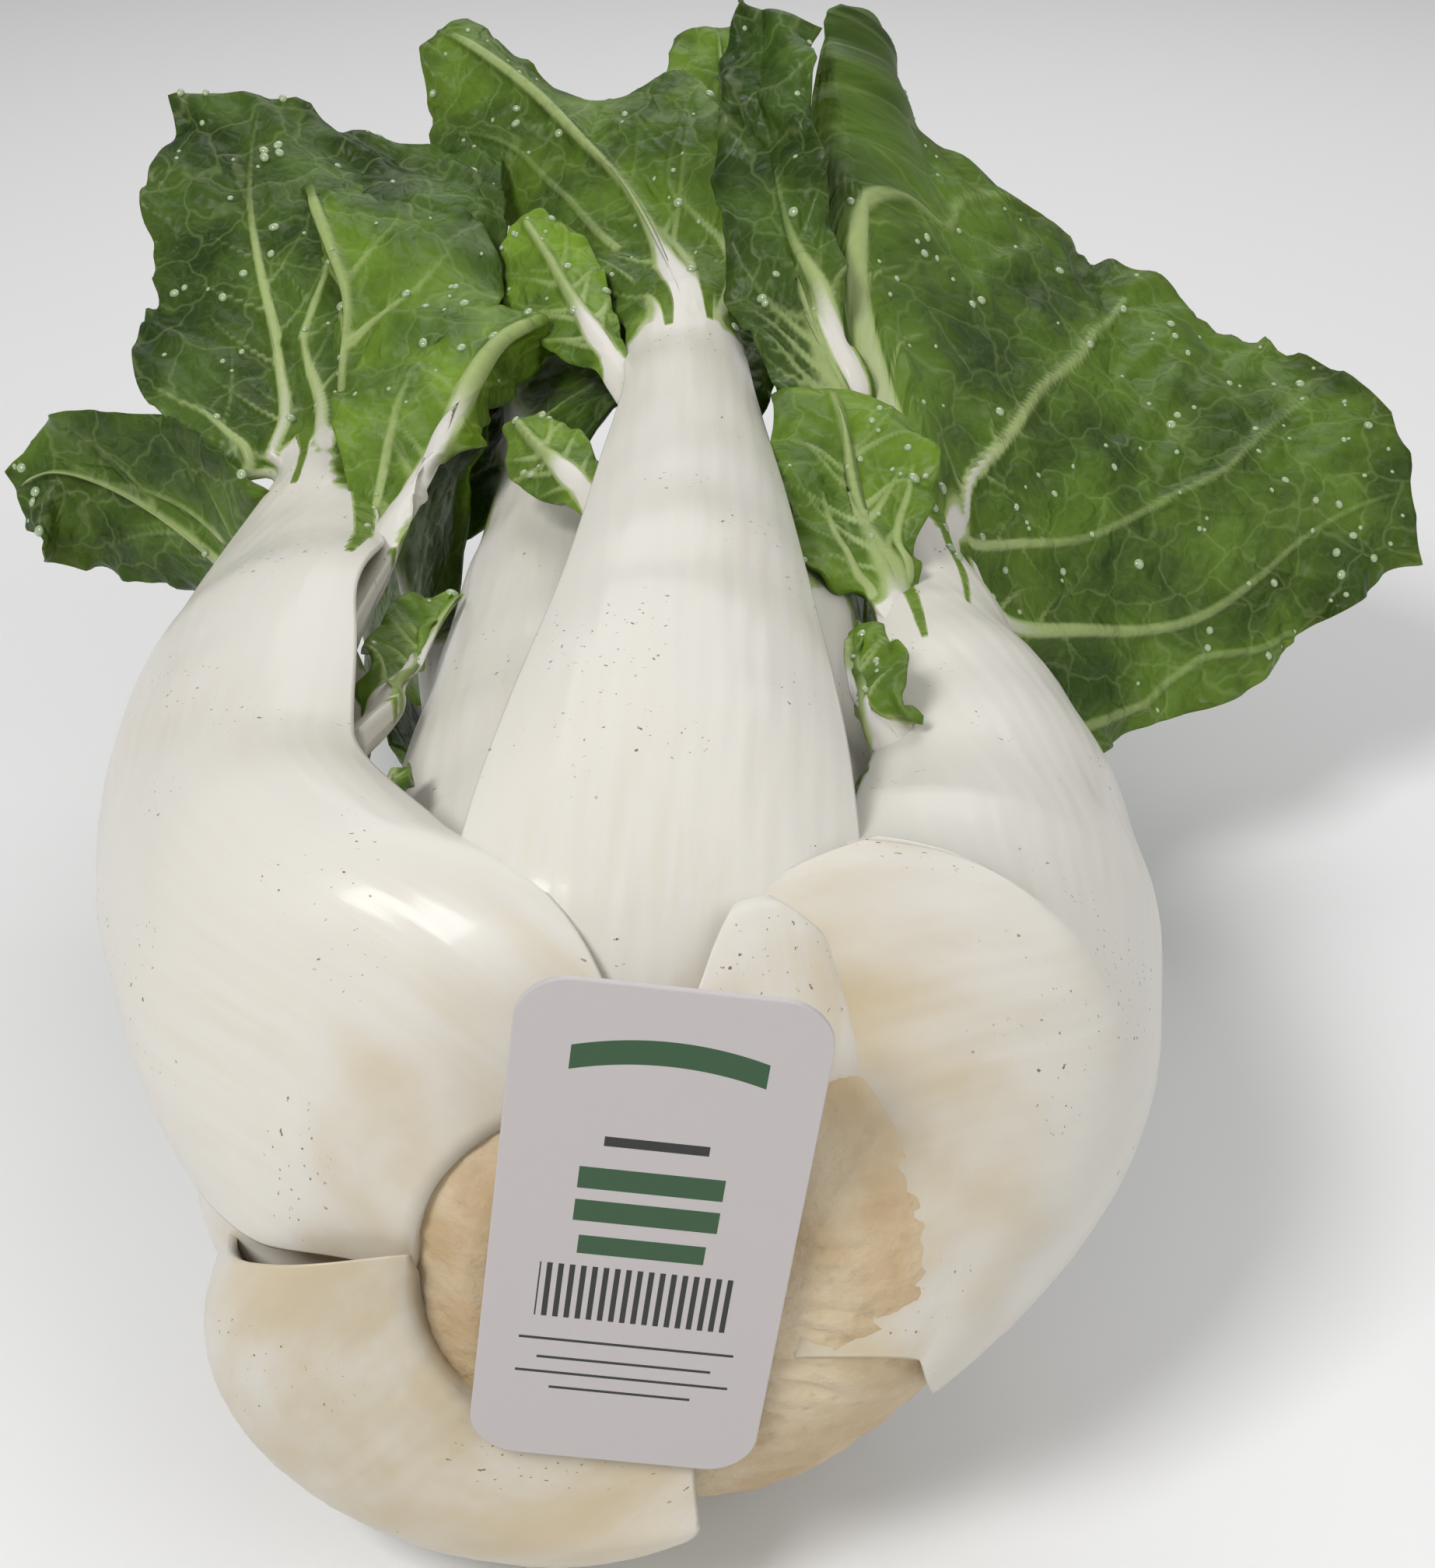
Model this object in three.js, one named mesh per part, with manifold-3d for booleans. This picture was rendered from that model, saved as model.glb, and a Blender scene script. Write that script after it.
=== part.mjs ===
// A head of bok choy, cut at the butt and lying on its side: a short solid stump, thick white leaf stalks in
// nested whorls, each running out into a green blade, small leafy lobes on the stalks' margins, and a card tag.
// Millimetres. +Y runs from the cut butt to the leaf tips, +Z is up, and the head rests on its lower stalks.
import * as THREE from "three";
import { mergeVertices } from "three/addons/utils/BufferGeometryUtils.js";
import Module from "manifold-3d";

const wasm = await Module();
wasm.setup();

// ---------------------------------------------------------------- driving dimensions
const AXIS_HEIGHT = 62.2; // the head's axis above the surface that it lies on
const ORIGIN = { x: 14.8, y: 131.67 }; // the middle of the head's bounding box in plan
const GAP = 0.4; // air left between neighbouring pieces
const RIB_CLEARANCE = 0.9; // between a blade and the rib along its back
const BLADE_THICKNESS = 1.1;
const STALK_EDGE = 2.2; // thickness of a stalk's thin margins
const SIMPLIFY = 0.16; // how far merging facets may move a surface
const VEIN_HEIGHT = 0.9; // how far a blade's side veins stand out of its back
const RADIANS = Math.PI / 180;

const COLOURS = {
  stalk: { color: 0xe9e6da, roughness: 0.35 },
  butt: { color: 0xcdb791, roughness: 0.6 },
  outer: { color: 0x2f5a22, roughness: 0.45 },
  inner: { color: 0x5c8a2e, roughness: 0.45 },
  tag: { color: 0xdad6d8, roughness: 0.5 },
};

const STUMP_CENTRE = { x: 8, z: AXIS_HEIGHT - 4.8 };
const STUMP_SIDES = 24;
// [along, radius, unevenness] from the cut face inwards
const STUMP_RINGS = [
  [-11, 24, 0.05],
  [-10, 26.5, 0.07],
  [-4, 27.5, 0.05],
  [3, 25, 0.03],
  [10, 18, 0],
  [16, 9, 0],
];
const TAG = {
  width: 37,
  height: 77,
  corner: 6.5,
  thickness: 0.9,
  lean: 2.2,
  turn: 7.5,
  centre: { x: 4.2, y: -14.6, z: AXIS_HEIGHT + 11.6 },
};

// Each leaf has stations along its spine, from the butt to the tip. A station's place is given round the head's
// axis: distance along it, radius, and angle from the top, clockwise seen from the butt.
//   stalk: [along, radius, angle, left width, right width, thickness, bend]   bend is the arched section's mean
//   turn from its middle to a margin, and the widths are measured round the arch
//   blade: [left width, cup, curl, sweep, right width, cup, curl, sweep]   from station `neck` on
// A blade's left and right are as seen from the butt with the leaf uppermost. Cup is its slope beside the rib,
// inwards, curl the further turn up to the margin, and sweep how far the margin lies ahead of the rib.
const LEAVES = [
  {
    name: "trimmed",
    coarse: true,
    stalk: [
      [-8.6, 31.2, 33.7, 9, 11, 3, 24],
      [-6.1, 36.8, 31.8, 10.5, 15, 3.4, 24],
      [-3.5, 41.8, 29.8, 11.5, 17.5, 3.5, 26],
      [-0.5, 45.4, 26.4, 10, 12.5, 3.2, 22],
      [2.7, 48.5, 22.9, 6.6, 7.8, 2.8, 15],
      [6.1, 50.5, 20.2, 2.4, 2.8, 2, 8],
    ],
  },
  {
    name: "left",
    stalk: [
      [-8, 26, -50, 17, 27, 5, 49.7],
      [-2, 46.8, -52.9, 26, 42, 9, 49],
      [13, 66.8, -60.4, 29.5, 50, 12, 67.3],
      [45, 79, -67.3, 36, 46, 14, 82],
      [85, 83.6, -67.1, 36, 43, 13, 77],
      [121.7, 81.4, -65.6, 28, 38, 12, 66],
      [160.8, 75.8, -58.7, 8, 17, 7.5, 52],
      [172.6, 78.5, -56.1, 6, 6, 5.4, 34],
      [187.3, 86.7, -53.8, 4, 4, 4, 20],
      [210, 100, -49, 3, 3, 3, 10],
      [232, 111, -46, 2, 2, 2.2, 5],
      [248, 119, -43, 1.5, 1.5, 1.6, 0],
    ],
    neck: 6,
    blade: [
      [8, 0, 46, 0, 17, 0, 56, 0],
      [18.8, -47, 0, -3.6, 16.1, 16, 30, -8.6],
      [28, -52, 10, 4, 41, 35, 30, 4],
      [25, -40, 20, 6, 50, 30, 40, 26],
      [21, -50, 20, 4, 38, 40, 40, 14],
      [18, -41, 20, 0, 17, 50, 40, 0],
    ],
    ruffle: [2.5, 3, 0.1],
  },
  {
    name: "right",
    stalk: [
      [-8, 26, 57, 26, 24, 5, 45.6],
      [-2, 48, 67, 47, 31, 9, 50],
      [13, 69, 77, 55, 48, 12, 70.3],
      [45, 77.5, 75, 51, 49, 14, 86.6],
      [85, 76, 69, 36, 34, 13, 86],
      [120.8, 67.7, 63.6, 24, 23, 11.5, 74],
      [143, 64.3, 57.6, 11, 12, 8, 50],
      [157.4, 70.2, 61.6, 7, 7, 5.6, 34],
      [176.2, 86.9, 72.5, 5, 5, 4.2, 20],
      [189, 108, 79, 3.5, 3.5, 3.2, 10],
      [197, 128, 81, 2.5, 2.5, 2.6, 5],
      [202, 144, 83, 2, 2, 2, 5],
      [205.5, 156, 84, 1.5, 1.5, 1.6, 0],
    ],
    neck: 6,
    blade: [
      [11, 0, 46, 0, 12, 0, 46, 0],
      [104.8, 17, 10, 37.7, 55.5, -3, 5, 1],
      [91.7, 29, 12, 9.2, 47, -14, 5, 4],
      [69.8, 44, 12, 13.8, 40, -18, 5, 4],
      [57.7, 54, 12, 6.2, 30, -18, 5, 4],
      [37, 46, 10, 4, 20, -22, 5, 2],
      [11, 30, 10, 1, 15, -30, 5, -1],
    ],
    ruffle: [2.5, 4, 0.6],
  },
  {
    name: "lower_left",
    stalk: [
      [-11, 26, -134, 31, 26, 5, 63.8],
      [-11, 48, -135, 47, 41, 9, 68.2],
      [-2, 61.5, -138, 49, 50, 12, 77.4],
      [30, 68.6, -147, 42, 51, 13, 71.9],
      [75, 67.8, -151, 32, 34, 12, 64],
      [115, 62, -151, 25, 25, 11, 64],
      [145, 60, -151, 18, 18, 10, 60],
      [170, 63, -150, 9, 9, 6.5, 40],
      [200, 69, -146, 4.5, 4.5, 4.2, 20],
      [230, 72, -143, 2.5, 2.5, 2.6, 10],
      [252, 72, -141, 1.5, 1.5, 1.6, 0],
    ],
    neck: 6,
    blade: [
      [18, 0, 60, 0, 18, 0, 60, 0],
      [26, 36, 20, 4, 38, 10, 20, 4],
      [30, 38, 15, 6, 48, 15, 15, 6],
      [26, 38, 10, 4, 42, 15, 10, 4],
      [12, 36, 10, 0, 16, 10, 10, 0],
    ],
    ruffle: [2.5, 3, 0],
  },
  {
    name: "lower_right",
    stalk: [
      [-6, 26, 146, 20, 20, 5, 46],
      [2, 40.5, 148, 32, 32, 9, 46],
      [16, 54, 150, 41, 37, 12, 58],
      [42, 68, 150, 42, 38, 13, 64],
      [82, 67, 150, 32, 30, 12, 64],
      [118, 62, 150, 24, 24, 11, 64],
      [146, 60, 150, 18, 18, 10, 60],
      [172, 63, 148, 9, 9, 6.5, 40],
      [202, 69, 144, 4.5, 4.5, 4.2, 20],
      [232, 72, 141, 2.5, 2.5, 2.6, 10],
      [254, 72, 139, 1.5, 1.5, 1.6, 0],
    ],
    neck: 6,
    blade: [
      [18, 0, 60, 0, 18, 0, 60, 0],
      [38, 10, 20, 4, 26, 36, 20, 4],
      [48, 15, 15, 6, 30, 38, 15, 6],
      [42, 15, 10, 4, 26, 38, 10, 4],
      [16, 10, 10, 0, 12, 36, 10, 0],
    ],
    ruffle: [2.5, 3, 0.4],
  },
  {
    name: "side_left",
    stalk: [
      [-5, 26, -100, 14, 14, 4, 40],
      [2, 45, -106, 22, 20, 7, 44],
      [16, 59, -107, 26, 20, 9, 46],
      [42, 63, -104, 26, 20, 10, 48],
      [82, 58, -96, 22, 20, 10, 50],
      [114, 56, -89, 18, 18, 9, 54],
      [138, 62, -82, 14, 14, 8, 50],
      [156, 75, -78, 8, 8, 5.5, 36],
      [170, 90, -76, 4.5, 4.5, 4, 20],
      [180, 106, -75, 3, 3, 3, 10],
      [186, 119, -76, 2, 2, 2.2, 5],
      [188, 127, -79, 1.5, 1.5, 1.6, 0],
    ],
    neck: 6,
    blade: [
      [14, 0, 50, 0, 14, 0, 50, 0],
      [14, -5, 20, 0, 26, -25, 20, 0],
      [17, 0, 20, 2, 25, -25, 20, 2],
      [22, 0, 20, 2, 16, -25, 20, 2],
      [18, -10, 20, 2, 10, -15, 20, 2],
      [8, -20, 20, 0, 4, -10, 20, 0],
    ],
    ruffle: [2, 3, 0.7],
  },
  {
    name: "centre",
    stalk: [
      [-3, 31, 8, 20, 20, 4, 30],
      [3, 43, 8, 26, 26, 7, 34],
      [14, 53, 8, 27, 27, 9, 32],
      [40, 60, 8.5, 24, 25, 11, 34],
      [80, 62, 8.5, 18.5, 22, 12, 38],
      [120, 62, 8.5, 15.5, 19, 12, 44],
      [155, 62, 8, 12.5, 15.5, 11, 50],
      [178, 62, 7, 12.5, 12.5, 9, 50],
      [198, 66, 4, 7, 7, 6, 30],
      [220, 74, -2, 4, 4, 4, 15],
      [240, 83, -11, 3, 3, 3, 10],
      [257, 94, -19, 2, 2, 2.2, 5],
      [270, 106, -26, 1.5, 1.5, 1.6, 0],
    ],
    neck: 7,
    blade: [
      [12.5, 0, 50, 0, 12.5, 0, 50, 0],
      [14, 0, 30, 6, 14, -20, 20, 3],
      [19.3, 1, 30, 7, 24, -28, 20, 4],
      [23.3, 6, 30, 8, 28, 6, 20, 2],
      [22.6, -3, 30, 3.4, 23, 56, 20, 0],
      [6, 0, 20, 0, 8, 30, 20, 0],
    ],
    ruffle: [2.5, 4, 0.3],
  },
  {
    name: "inner_left",
    stalk: [
      [4, 26, -30, 15, 15, 4, 30],
      [12, 36, -31, 18, 18, 6, 34],
      [30, 44, -31, 19, 19, 7.5, 38],
      [60, 47, -31, 17, 17, 8, 40],
      [100, 46, -31, 15, 15, 8, 44],
      [135, 45, -31, 14, 14, 8, 48],
      [165, 44, -31, 12, 12, 7, 50],
      [186, 48, -33, 6.5, 6.5, 5, 36],
      [206, 54, -34, 4, 4, 3.6, 20],
      [226, 60, -34, 2.5, 2.5, 2.6, 10],
      [242, 64, -34, 1.5, 1.5, 1.6, 0],
    ],
    neck: 6,
    blade: [
      [12, 0, 50, 0, 17, 0, 50, 0],
      [30, 0, 30, 0, 27, 0, 30, 0],
      [36, 0, 30, 4, 26, 0, 30, 4],
      [30, 0, 30, 4, 24, 0, 30, 4],
      [12, 0, 20, 0, 10, 0, 20, 0],
    ],
    ruffle: [3, 4, 0.2],
  },
  {
    name: "inner_right",
    stalk: [
      [4, 26, 38, 15, 15, 4, 30],
      [12, 36, 40, 18, 18, 6, 34],
      [30, 45, 41, 19, 19, 7.5, 38],
      [60, 48, 41, 16, 16, 8, 42],
      [100, 48, 41, 13, 13, 8, 46],
      [132, 52, 41, 11, 11, 7.5, 50],
      [155, 60, 38, 9, 9, 6.5, 50],
      [169.7, 69.3, 28.7, 5.5, 5.5, 5, 36],
      [184.8, 78.4, 21.6, 3.5, 3.5, 3.6, 20],
      [200.1, 89, 16.1, 2.5, 2.5, 2.6, 10],
      [215.5, 100.5, 12.6, 2, 2, 2, 5],
      [228.8, 109.7, 12, 1.5, 1.5, 1.6, 0],
    ],
    neck: 6,
    blade: [
      [9, 0, 50, 0, 9, 0, 50, 0],
      [12.9, 24, 20, 5.8, 5.4, -50, 30, 1.9],
      [12.5, 11, 20, 5.4, 9.7, -63, 30, 0.1],
      [10.2, 9, 20, 5.4, 10.1, -61, 30, 0.3],
      [7.4, 3, 20, 4.3, 10.8, -49, 30, -0.7],
      [5.4, -19, 20, 1.7, 11, -47, 30, -6.4],
    ],
    ruffle: [2.5, 4, 0.5],
  },
  {
    name: "heart_top",
    coarse: true,
    stalk: [
      [12, 20, 6, 10, 10, 4, 30],
      [34, 34, 8, 14, 14, 6, 34],
      [70, 40, 10, 14, 14, 7, 38],
      [110, 42, 12, 13, 13, 7.5, 42],
      [145, 44, 14, 12, 12, 7, 46],
      [172, 44, 16, 8, 8, 6, 46],
      [198, 51, 16, 4, 4, 4, 30],
      [222, 62, 13, 2, 2, 2.4, 20],
      [246, 79, 11, 1.5, 1.5, 1.8, 10],
      [271, 97, 8, 1.2, 1.2, 1.4, 0],
    ],
    neck: 5,
    blade: [
      [9, 0, 46, 0, 9, 0, 46, 0],
      [12, 10, 30, 0, 12, 0, 20, 0],
      [14, 10, 20, 4, 14, 0, 20, 4],
      [14, 0, 20, 4, 15, 0, 20, 4],
      [9, 0, 20, 0, 10, 0, 20, 0],
    ],
    ruffle: [2.5, 4, 0.8],
    look: "inner",
  },
  {
    name: "back_low",
    coarse: true,
    stalk: [
      [2, 28, 180, 20, 20, 4, 36],
      [10, 40, 180, 26, 26, 7, 40],
      [30, 50, 180, 28, 28, 9, 42],
      [70, 52, 180, 24, 24, 10, 44],
      [110, 49, 180, 20, 20, 9, 46],
      [145, 47, 180, 15, 15, 8, 50],
      [170, 50, 180, 8, 8, 5.5, 40],
      [198, 58, 180, 4.5, 4.5, 4, 20],
      [226, 62.6, 180, 3, 3, 2.6, 10],
      [250, 61, 180, 1.5, 1.5, 1.6, 0],
    ],
    neck: 5,
    blade: [
      [15, 0, 50, 0, 15, 0, 50, 0],
      [30, 6, 34, 4, 30, 6, 34, 4],
      [36, 8, 34, 6, 36, 8, 34, 6],
      [32, 8, 34, 4, 32, 8, 34, 4],
      [14, 6, 20, 0, 14, 6, 20, 0],
    ],
    ruffle: [2, 3, 0.2],
  },
  {
    name: "heart_left",
    coarse: true,
    stalk: [
      [12, 18, -84, 10, 10, 4, 30],
      [36, 34, -86, 15, 15, 6, 34],
      [75, 38, -86, 16, 16, 7, 38],
      [115, 38, -84, 14, 14, 7, 42],
      [145, 41, -80, 10, 10, 6, 46],
      [168, 48, -76, 5, 5, 4.5, 30],
      [192, 58, -72, 3.5, 3.5, 3.4, 20],
      [216, 66, -68, 2.5, 2.5, 2.4, 10],
      [236, 71, -66, 1.5, 1.5, 1.6, 0],
    ],
    neck: 4,
    blade: [
      [10, 0, 46, 0, 10, 0, 46, 0],
      [26, 0, 20, 0, 26, 0, 20, 0],
      [36, 0, 20, 4, 36, 0, 20, 4],
      [30, 0, 20, 4, 30, 0, 20, 4],
      [10, 0, 20, 0, 10, 0, 20, 0],
    ],
    ruffle: [2.5, 3, 0.1],
  },
  {
    name: "heart_right",
    coarse: true,
    stalk: [
      [12, 18, 96, 10, 10, 4, 30],
      [36, 34, 94, 15, 15, 6, 34],
      [75, 38, 92, 16, 16, 7, 38],
      [115, 39, 88, 14, 14, 7, 42],
      [145, 42, 82, 10, 10, 6, 46],
      [168, 48, 76, 5, 5, 4.5, 30],
      [192, 57, 70, 3.5, 3.5, 3.4, 20],
      [216, 65, 64, 2.5, 2.5, 2.4, 10],
      [238, 71, 60, 1.5, 1.5, 1.6, 0],
    ],
    neck: 4,
    blade: [
      [13, 0, 46, 0, 10, 0, 46, 0],
      [31, 0, 20, 0, 26, 0, 20, 0],
      [39, 0, 20, 4, 34, 0, 20, 4],
      [30, 0, 20, 4, 28, 0, 20, 4],
      [10, 0, 20, 0, 10, 0, 20, 0],
    ],
    ruffle: [2.5, 3, 0.6],
  },
  {
    name: "mid_left",
    joins: "left",
    stalk: [
      [156, 66, -56, 2.6, 2.6, 5, 30],
      [172, 70.5, -52.6, 2.2, 2.2, 4, 30],
      [184, 76.5, -48.5, 1.9, 1.9, 3.2, 20],
      [198, 84, -44.3, 1.6, 1.6, 2.4, 20],
      [209, 92, -43.3, 1.8, 1.8, 2, 10],
      [225, 102, -42.7, 1.2, 1.2, 1.4, 0],
    ],
    neck: 1,
    blade: [
      [4, 0, 40, 0, 4, 0, 40, 0],
      [4, 0, 30, 0, 22, 0, 30, 0],
      [4, 0, 30, 2, 30, 23, 30, 4],
      [4, 0, 30, 2, 27, 27, 30, 4],
      [2, 0, 20, 0, 9, 47, 20, 0],
    ],
    ruffle: [1.2, 3, 0.1],
    look: "inner",
  },
  {
    name: "fold_left",
    joins: "left",
    stalk: [
      [95.1, 61.5, -49.9, 4, 4, 5, 30],
      [119.5, 60.8, -46.5, 5, 5, 5, 40],
      [139, 60.6, -41.2, 5, 4.5, 4.5, 40],
      [153.8, 62.9, -35.6, 4, 4, 3.6, 30],
      [166.5, 65.8, -29.5, 3, 3, 2.8, 20],
      [177.7, 66.3, -23.8, 2, 2, 2.2, 10],
      [188.4, 63.8, -16.5, 1.5, 1.5, 1.6, 0],
    ],
    neck: 1,
    blade: [
      [6, 0, 40, 0, 4, 0, 40, 0],
      [8.7, -15, 20, -10.1, 2, 9, 20, -3],
      [14.9, -42, 20, -11.4, 2, -21, 20, -5],
      [21.8, -19, 20, -12, 8.8, 82, 20, -4],
      [23.8, -2, 20, -12, 11, 69, 20, 0.7],
      [20.1, 7, 20, -12, 6.4, 61, 20, 1.6],
    ],
    ruffle: [1, 2, 0.2],
    look: "inner",
  },
  {
    name: "ear_left",
    joins: "left",
    stalk: [
      [55, 58.2, -43.8, 4, 4, 4.5, 30],
      [72.3, 54, -45.2, 5, 5, 4.5, 40],
      [85.5, 52, -44.8, 3.5, 3.5, 3.6, 40],
      [97.3, 51.3, -43.2, 2.4, 2.4, 2.6, 30],
      [106.9, 50.4, -40.9, 2, 2, 2, 10],
      [117.2, 48.6, -38.9, 1.5, 1.5, 1.6, 0],
    ],
    neck: 1,
    blade: [
      [4, 0, 40, 0, 4, 0, 40, 0],
      [5.4, -97, 20, -4.4, 2, -30, 20, -2.3],
      [9.1, -74, 20, -6.3, 2, -54, 20, -0.5],
      [8.2, -63, 20, -5.8, 2, -90, 20, -2],
      [5.7, -63, 20, -5.4, 2, -102, 20, -3.2],
    ],
    ruffle: [1, 2, 0.5],
    look: "inner",
  },
  {
    name: "front_right",
    joins: "right",
    stalk: [
      [99.1, 57.2, 55.5, 4, 4, 5, 30],
      [114.9, 56.4, 50.6, 6, 6, 5.5, 40],
      [124.6, 58.5, 43.3, 5, 5, 5, 40],
      [134.4, 62.6, 37.5, 3.5, 3.5, 3.6, 30],
      [145, 66.8, 33, 2.5, 2.5, 2.6, 20],
      [155.3, 68.6, 29.2, 1.5, 1.5, 1.6, 0],
    ],
    neck: 1,
    blade: [
      [6, 0, 40, 0, 6, 0, 40, 0],
      [13, -8, 20, -7.5, 7.5, -57, 30, -3.2],
      [13.5, -10, 20, -6.7, 13.8, -56, 30, -5.9],
      [13.5, 4, 20, -3.7, 14.3, -38, 30, -10.1],
      [10, 11, 20, 2, 13, -23, 30, -12],
    ],
    ruffle: [1.2, 3, 0.5],
    look: "inner",
  },
  {
    name: "ear_right",
    joins: "right",
    stalk: [
      [56.8, 58.1, 50.1, 3, 3, 4, 30],
      [61.8, 55.3, 46.8, 4.5, 4.5, 4.5, 40],
      [65.6, 56, 40.6, 3.5, 3.5, 3.6, 40],
      [75.9, 56.9, 39, 2.4, 2.4, 2.4, 20],
      [86, 57.7, 38.2, 1.5, 1.5, 1.6, 0],
    ],
    neck: 1,
    blade: [
      [4, 0, 40, 0, 4, 0, 40, 0],
      [2, -8, 30, 2, 6.7, -86, 30, -3.9],
      [2, -66, 30, 2.6, 8.9, -85, 30, -2.4],
      [2, -79, 30, 2, 5.5, -86, 30, -0.8],
    ],
    ruffle: [0.8, 2, 0.5],
    look: "inner",
  },
  {
    name: "ear_centre",
    joins: "centre",
    stalk: [
      [112, 52, -2, 3, 3, 4, 30],
      [119, 53, -8, 3.5, 3.5, 4, 40],
      [127, 56, -13, 3, 3, 3.4, 40],
      [136, 59, -18, 2, 2, 2.4, 20],
      [147, 61, -22, 1.5, 1.5, 1.6, 0],
    ],
    neck: 1,
    blade: [
      [3.5, 0, 40, 0, 3.5, 0, 40, 0],
      [6, 0, 30, 0, 6, 0, 30, 0],
      [7, 0, 30, 1, 7, 0, 30, 1],
      [3, 0, 20, 0, 3, 0, 20, 0],
    ],
    ruffle: [0.6, 2, 0.2],
    look: "inner",
  },
  {
    name: "side_centre",
    joins: "centre",
    stalk: [
      [158, 55, -2, 3, 3, 4, 30],
      [168, 57, -5, 3.5, 3.5, 4, 40],
      [182, 61, -10, 3, 3, 3.4, 40],
      [195, 66, -14, 2.2, 2.2, 2.6, 20],
      [206, 71, -17, 1.8, 1.8, 2, 10],
      [216, 76, -20, 1.5, 1.5, 1.6, 0],
    ],
    neck: 1,
    blade: [
      [3.5, 0, 40, 0, 3.5, 0, 40, 0],
      [8, 0, 30, 0, 5, 0, 30, 0],
      [12, 0, 30, 1, 8, 0, 30, 1],
      [12, 0, 30, 1, 8, 0, 30, 1],
      [4, 0, 20, 0, 3, 0, 20, 0],
    ],
    ruffle: [0.8, 3, 0.4],
    look: "inner",
  },
  {
    name: "sprout_left",
    joins: "left",
    stalk: [
      [32.9, 62.5, -40, 2, 2, 3, 20],
      [34.7, 55.9, -36.6, 2.5, 2.5, 3, 30],
      [41.7, 53.8, -36.9, 2, 2, 2, 20],
      [49.4, 53.4, -37.3, 1.2, 1.2, 1.4, 0],
    ],
    neck: 1,
    blade: [
      [2.4, 0, 20, 0, 2.4, 0, 20, 0],
      [3.5, 0, 30, 0, 3.5, 0, 30, 0],
      [1.5, 0, 20, 0, 1.5, 0, 20, 0],
    ],
    ruffle: [0.2, 2, 0.4],
    look: "inner",
  },
  {
    name: "sprout_right",
    joins: "right",
    stalk: [
      [41.7, 56.3, 46.1, 2, 2, 3, 20],
      [42.4, 51.9, 45.7, 2.5, 2.5, 3, 30],
      [47.1, 53, 43.6, 2, 2, 2, 20],
      [53.3, 53.7, 43.3, 1.2, 1.2, 1.4, 0],
    ],
    neck: 1,
    blade: [
      [2.4, 0, 20, 0, 2.4, 0, 20, 0],
      [3.5, 0, 30, 0, 3.5, 0, 30, 0],
      [1.5, 0, 20, 0, 1.5, 0, 20, 0],
    ],
    ruffle: [0.2, 2, 0.4],
    look: "inner",
  },
];

// ---------------------------------------------------------------- curves and frames
// Every column of a table of stations, joined by a Catmull-Rom curve.
function between(rows, u) {
  const i = Math.min(Math.max(Math.floor(u), 0), rows.length - 2);
  const f = u - i;
  const a = rows[Math.max(i - 1, 0)];
  const b = rows[i];
  const c = rows[i + 1];
  const d = rows[Math.min(i + 2, rows.length - 1)];
  return b.map((_, k) => {
    const slopeIn = i > 0 ? (c[k] - a[k]) / 2 : c[k] - b[k];
    const slopeOut = i < rows.length - 2 ? (d[k] - b[k]) / 2 : c[k] - b[k];
    const f2 = f * f;
    const f3 = f2 * f;
    return (
      (2 * f3 - 3 * f2 + 1) * b[k] + (f3 - 2 * f2 + f) * slopeIn +
      (3 * f2 - 2 * f3) * c[k] + (f3 - f2) * slopeOut
    );
  });
}

// The point at a distance along the head's axis, a radius from it and an angle round it.
function roundAxis(along, radius, angle) {
  const turn = angle * RADIANS;
  return new THREE.Vector3(radius * Math.sin(turn), along, AXIS_HEIGHT + radius * Math.cos(turn));
}

// A leaf's spine at station u: its place, and the directions along it, out of its back, and to its right. The
// crown is the way that its section arches, which is away from the head's axis where the stalk spreads at its base.
function spineAt(leaf, u) {
  const row = between(leaf.stalk, u);
  const step = 0.02;
  const ahead = between(leaf.stalk, Math.min(u + step, leaf.stalk.length - 1));
  const behind = between(leaf.stalk, Math.max(u - step, 0));
  const place = roundAxis(row[0], row[1], row[2]);
  const along = roundAxis(ahead[0], ahead[1], ahead[2])
    .sub(roundAxis(behind[0], behind[1], behind[2]))
    .normalize();
  const angle = row[2] * RADIANS;
  const back = new THREE.Vector3(Math.sin(angle), -0.8, Math.cos(angle));
  back.addScaledVector(along, -back.dot(along)).normalize();
  const right = new THREE.Vector3().crossVectors(along, back);
  const outwards = new THREE.Vector3(Math.sin(angle), 0, Math.cos(angle));
  const grown = leaf.neck ? Math.min(Math.max((u - 2) / (leaf.neck - 2), 0), 1) : 0;
  const crown = outwards.lerp(back, grown).normalize();
  return { place, along, back, right, crown, row };
}

// ---------------------------------------------------------------- closed meshes
// A geometry from points and triangles, turned to face outwards.
function closed(points, triangles) {
  let volume = 0;
  const cross = new THREE.Vector3();
  for (const [a, b, c] of triangles) volume += cross.crossVectors(points[a], points[b]).dot(points[c]);
  const faces = volume < 0 ? triangles.map(([a, b, c]) => [a, c, b]) : triangles;
  const geometry = new THREE.BufferGeometry();
  geometry.setAttribute("position", new THREE.Float32BufferAttribute(points.flatMap((p) => p.toArray()), 3));
  geometry.setIndex(faces.flat());
  return geometry;
}

function solidOf(geometry) {
  const bare = geometry.clone();
  bare.deleteAttribute("normal");
  bare.deleteAttribute("uv");
  const merged = mergeVertices(bare, 1e-4);
  return new wasm.Manifold(
    new wasm.Mesh({
      numProp: 3,
      vertProperties: merged.attributes.position.array,
      triVerts: new Uint32Array(merged.index.array),
    }),
  );
}

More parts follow.
